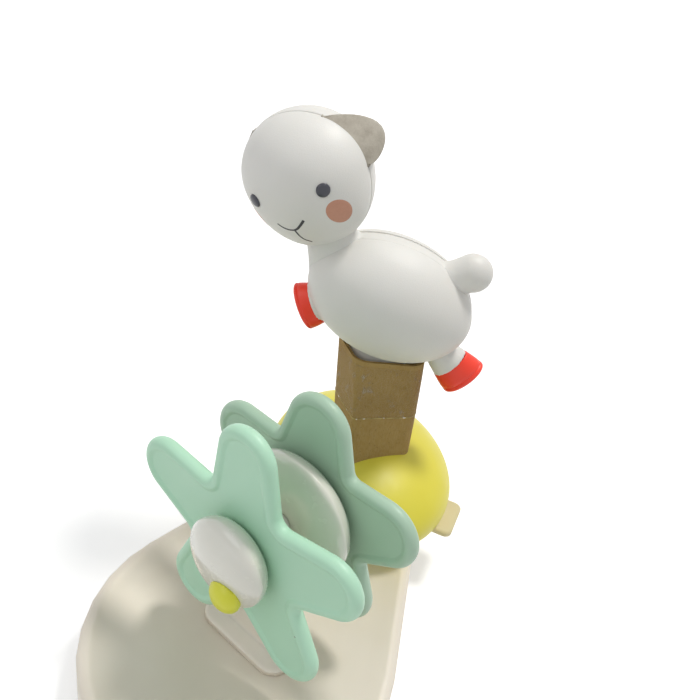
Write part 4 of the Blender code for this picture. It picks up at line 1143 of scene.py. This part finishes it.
def dress_nodes():
    """Finishes for the small CAD nodes that show as they are."""
    for name, node in nodes.items():
        if name.startswith("foot"):
            finish = foot_rubber
        elif name.endswith("bush") or name.endswith("spacer"):
            finish = bush_nylon
        elif name in ("neck_pin", "flower_axle") or name.startswith("tray_screw"):
            finish = plated_steel
        else:
            continue
        if not node.material_slots:
            node.data.materials.append(finish)
        for slot in node.material_slots:
            slot.material = finish


# Floor and light

floor_half = 3.0
floor_fade = (0.6, 2.0)
sky_level = 0.50
toy_middle = Vector((0, -0.03, 0.12))
white = (1.0, 1.0, 1.0)


def seen_rays(tree):
    """1 where the camera sees a surface itself, in a mirror or through glass."""
    path = tree.add("ShaderNodeLightPath").outputs
    mirrored = tree.math("MAXIMUM", path["Is Glossy Ray"], path["Is Transmission Ray"])
    return tree.math("MAXIMUM", path["Is Camera Ray"], mirrored)


def make_floor():
    """Floor that keeps the object's shadow and fades to white further off."""
    corners = [(x * floor_half, y * floor_half, 0) for x, y in ((-1, -1), (1, -1), (1, 1), (-1, 1))]
    mesh = bpy.data.meshes.new("floor")
    mesh.from_pydata(corners, [], [(0, 1, 2, 3)])
    floor = added("floor", mesh)
    paint = Finish("floor", Roughness=0.9, Emission_Color=white)
    seen = seen_rays(paint)
    paint.to("Base Color", paint.mix(seen, (0.72, 0.71, 0.69), white))
    away = paint.add("ShaderNodeVectorMath", {0: paint.place()}, operation="LENGTH").outputs["Value"]
    paint.to("Emission Strength", paint.math("MULTIPLY", seen, paint.ramp(away, *floor_fade, 0.30, 1.0)))
    mesh.materials.append(paint.material)


def make_sky():
    """Plain sky at half strength, which the camera sees as white."""
    world = bpy.data.worlds.new("studio")
    bpy.context.scene.world = world
    world.use_nodes = True
    air = Tree(world.node_tree)
    sky = world.node_tree.nodes["Background"]
    seen = seen_rays(air)
    air.feed(sky.inputs["Color"], air.mix(seen, (0.96, 0.98, 1.0), white))
    air.feed(sky.inputs["Strength"], air.math("MULTIPLY_ADD", seen, 1.0 - sky_level, sky_level))


def make_lamp(name, place, size, power, colour):
    """Round soft lamp that faces the toy."""
    data = bpy.data.lights.new(name, "AREA")
    data.shape = "DISK"
    data.size = size
    data.energy = power
    data.color = colour
    lamp = added(name, data)
    aim = (Vector(place) - toy_middle).to_track_quat("Z", "Y")
    lamp.matrix_world = Matrix.Translation(place) @ aim.to_matrix().to_4x4()


make_camera()
make_middle()
make_sides()
make_hooves()
make_collar()
make_spring()
make_head()
make_eyes()
make_cheeks()
make_mouth()
make_ears()
make_bun()
make_sleeve()
make_tape()
make_flowers()
make_skins()
dress_nodes()
make_floor()
make_sky()
make_lamp("key", (0.36, 0.26, 1.38), size=0.28, power=9.5, colour=(1.0, 0.98, 0.94))
make_lamp("fill", (-0.9, -0.9, 1.1), size=1.2, power=3.5, colour=(0.98, 0.99, 1.0))
bpy.context.scene.view_settings.view_transform = "Standard"
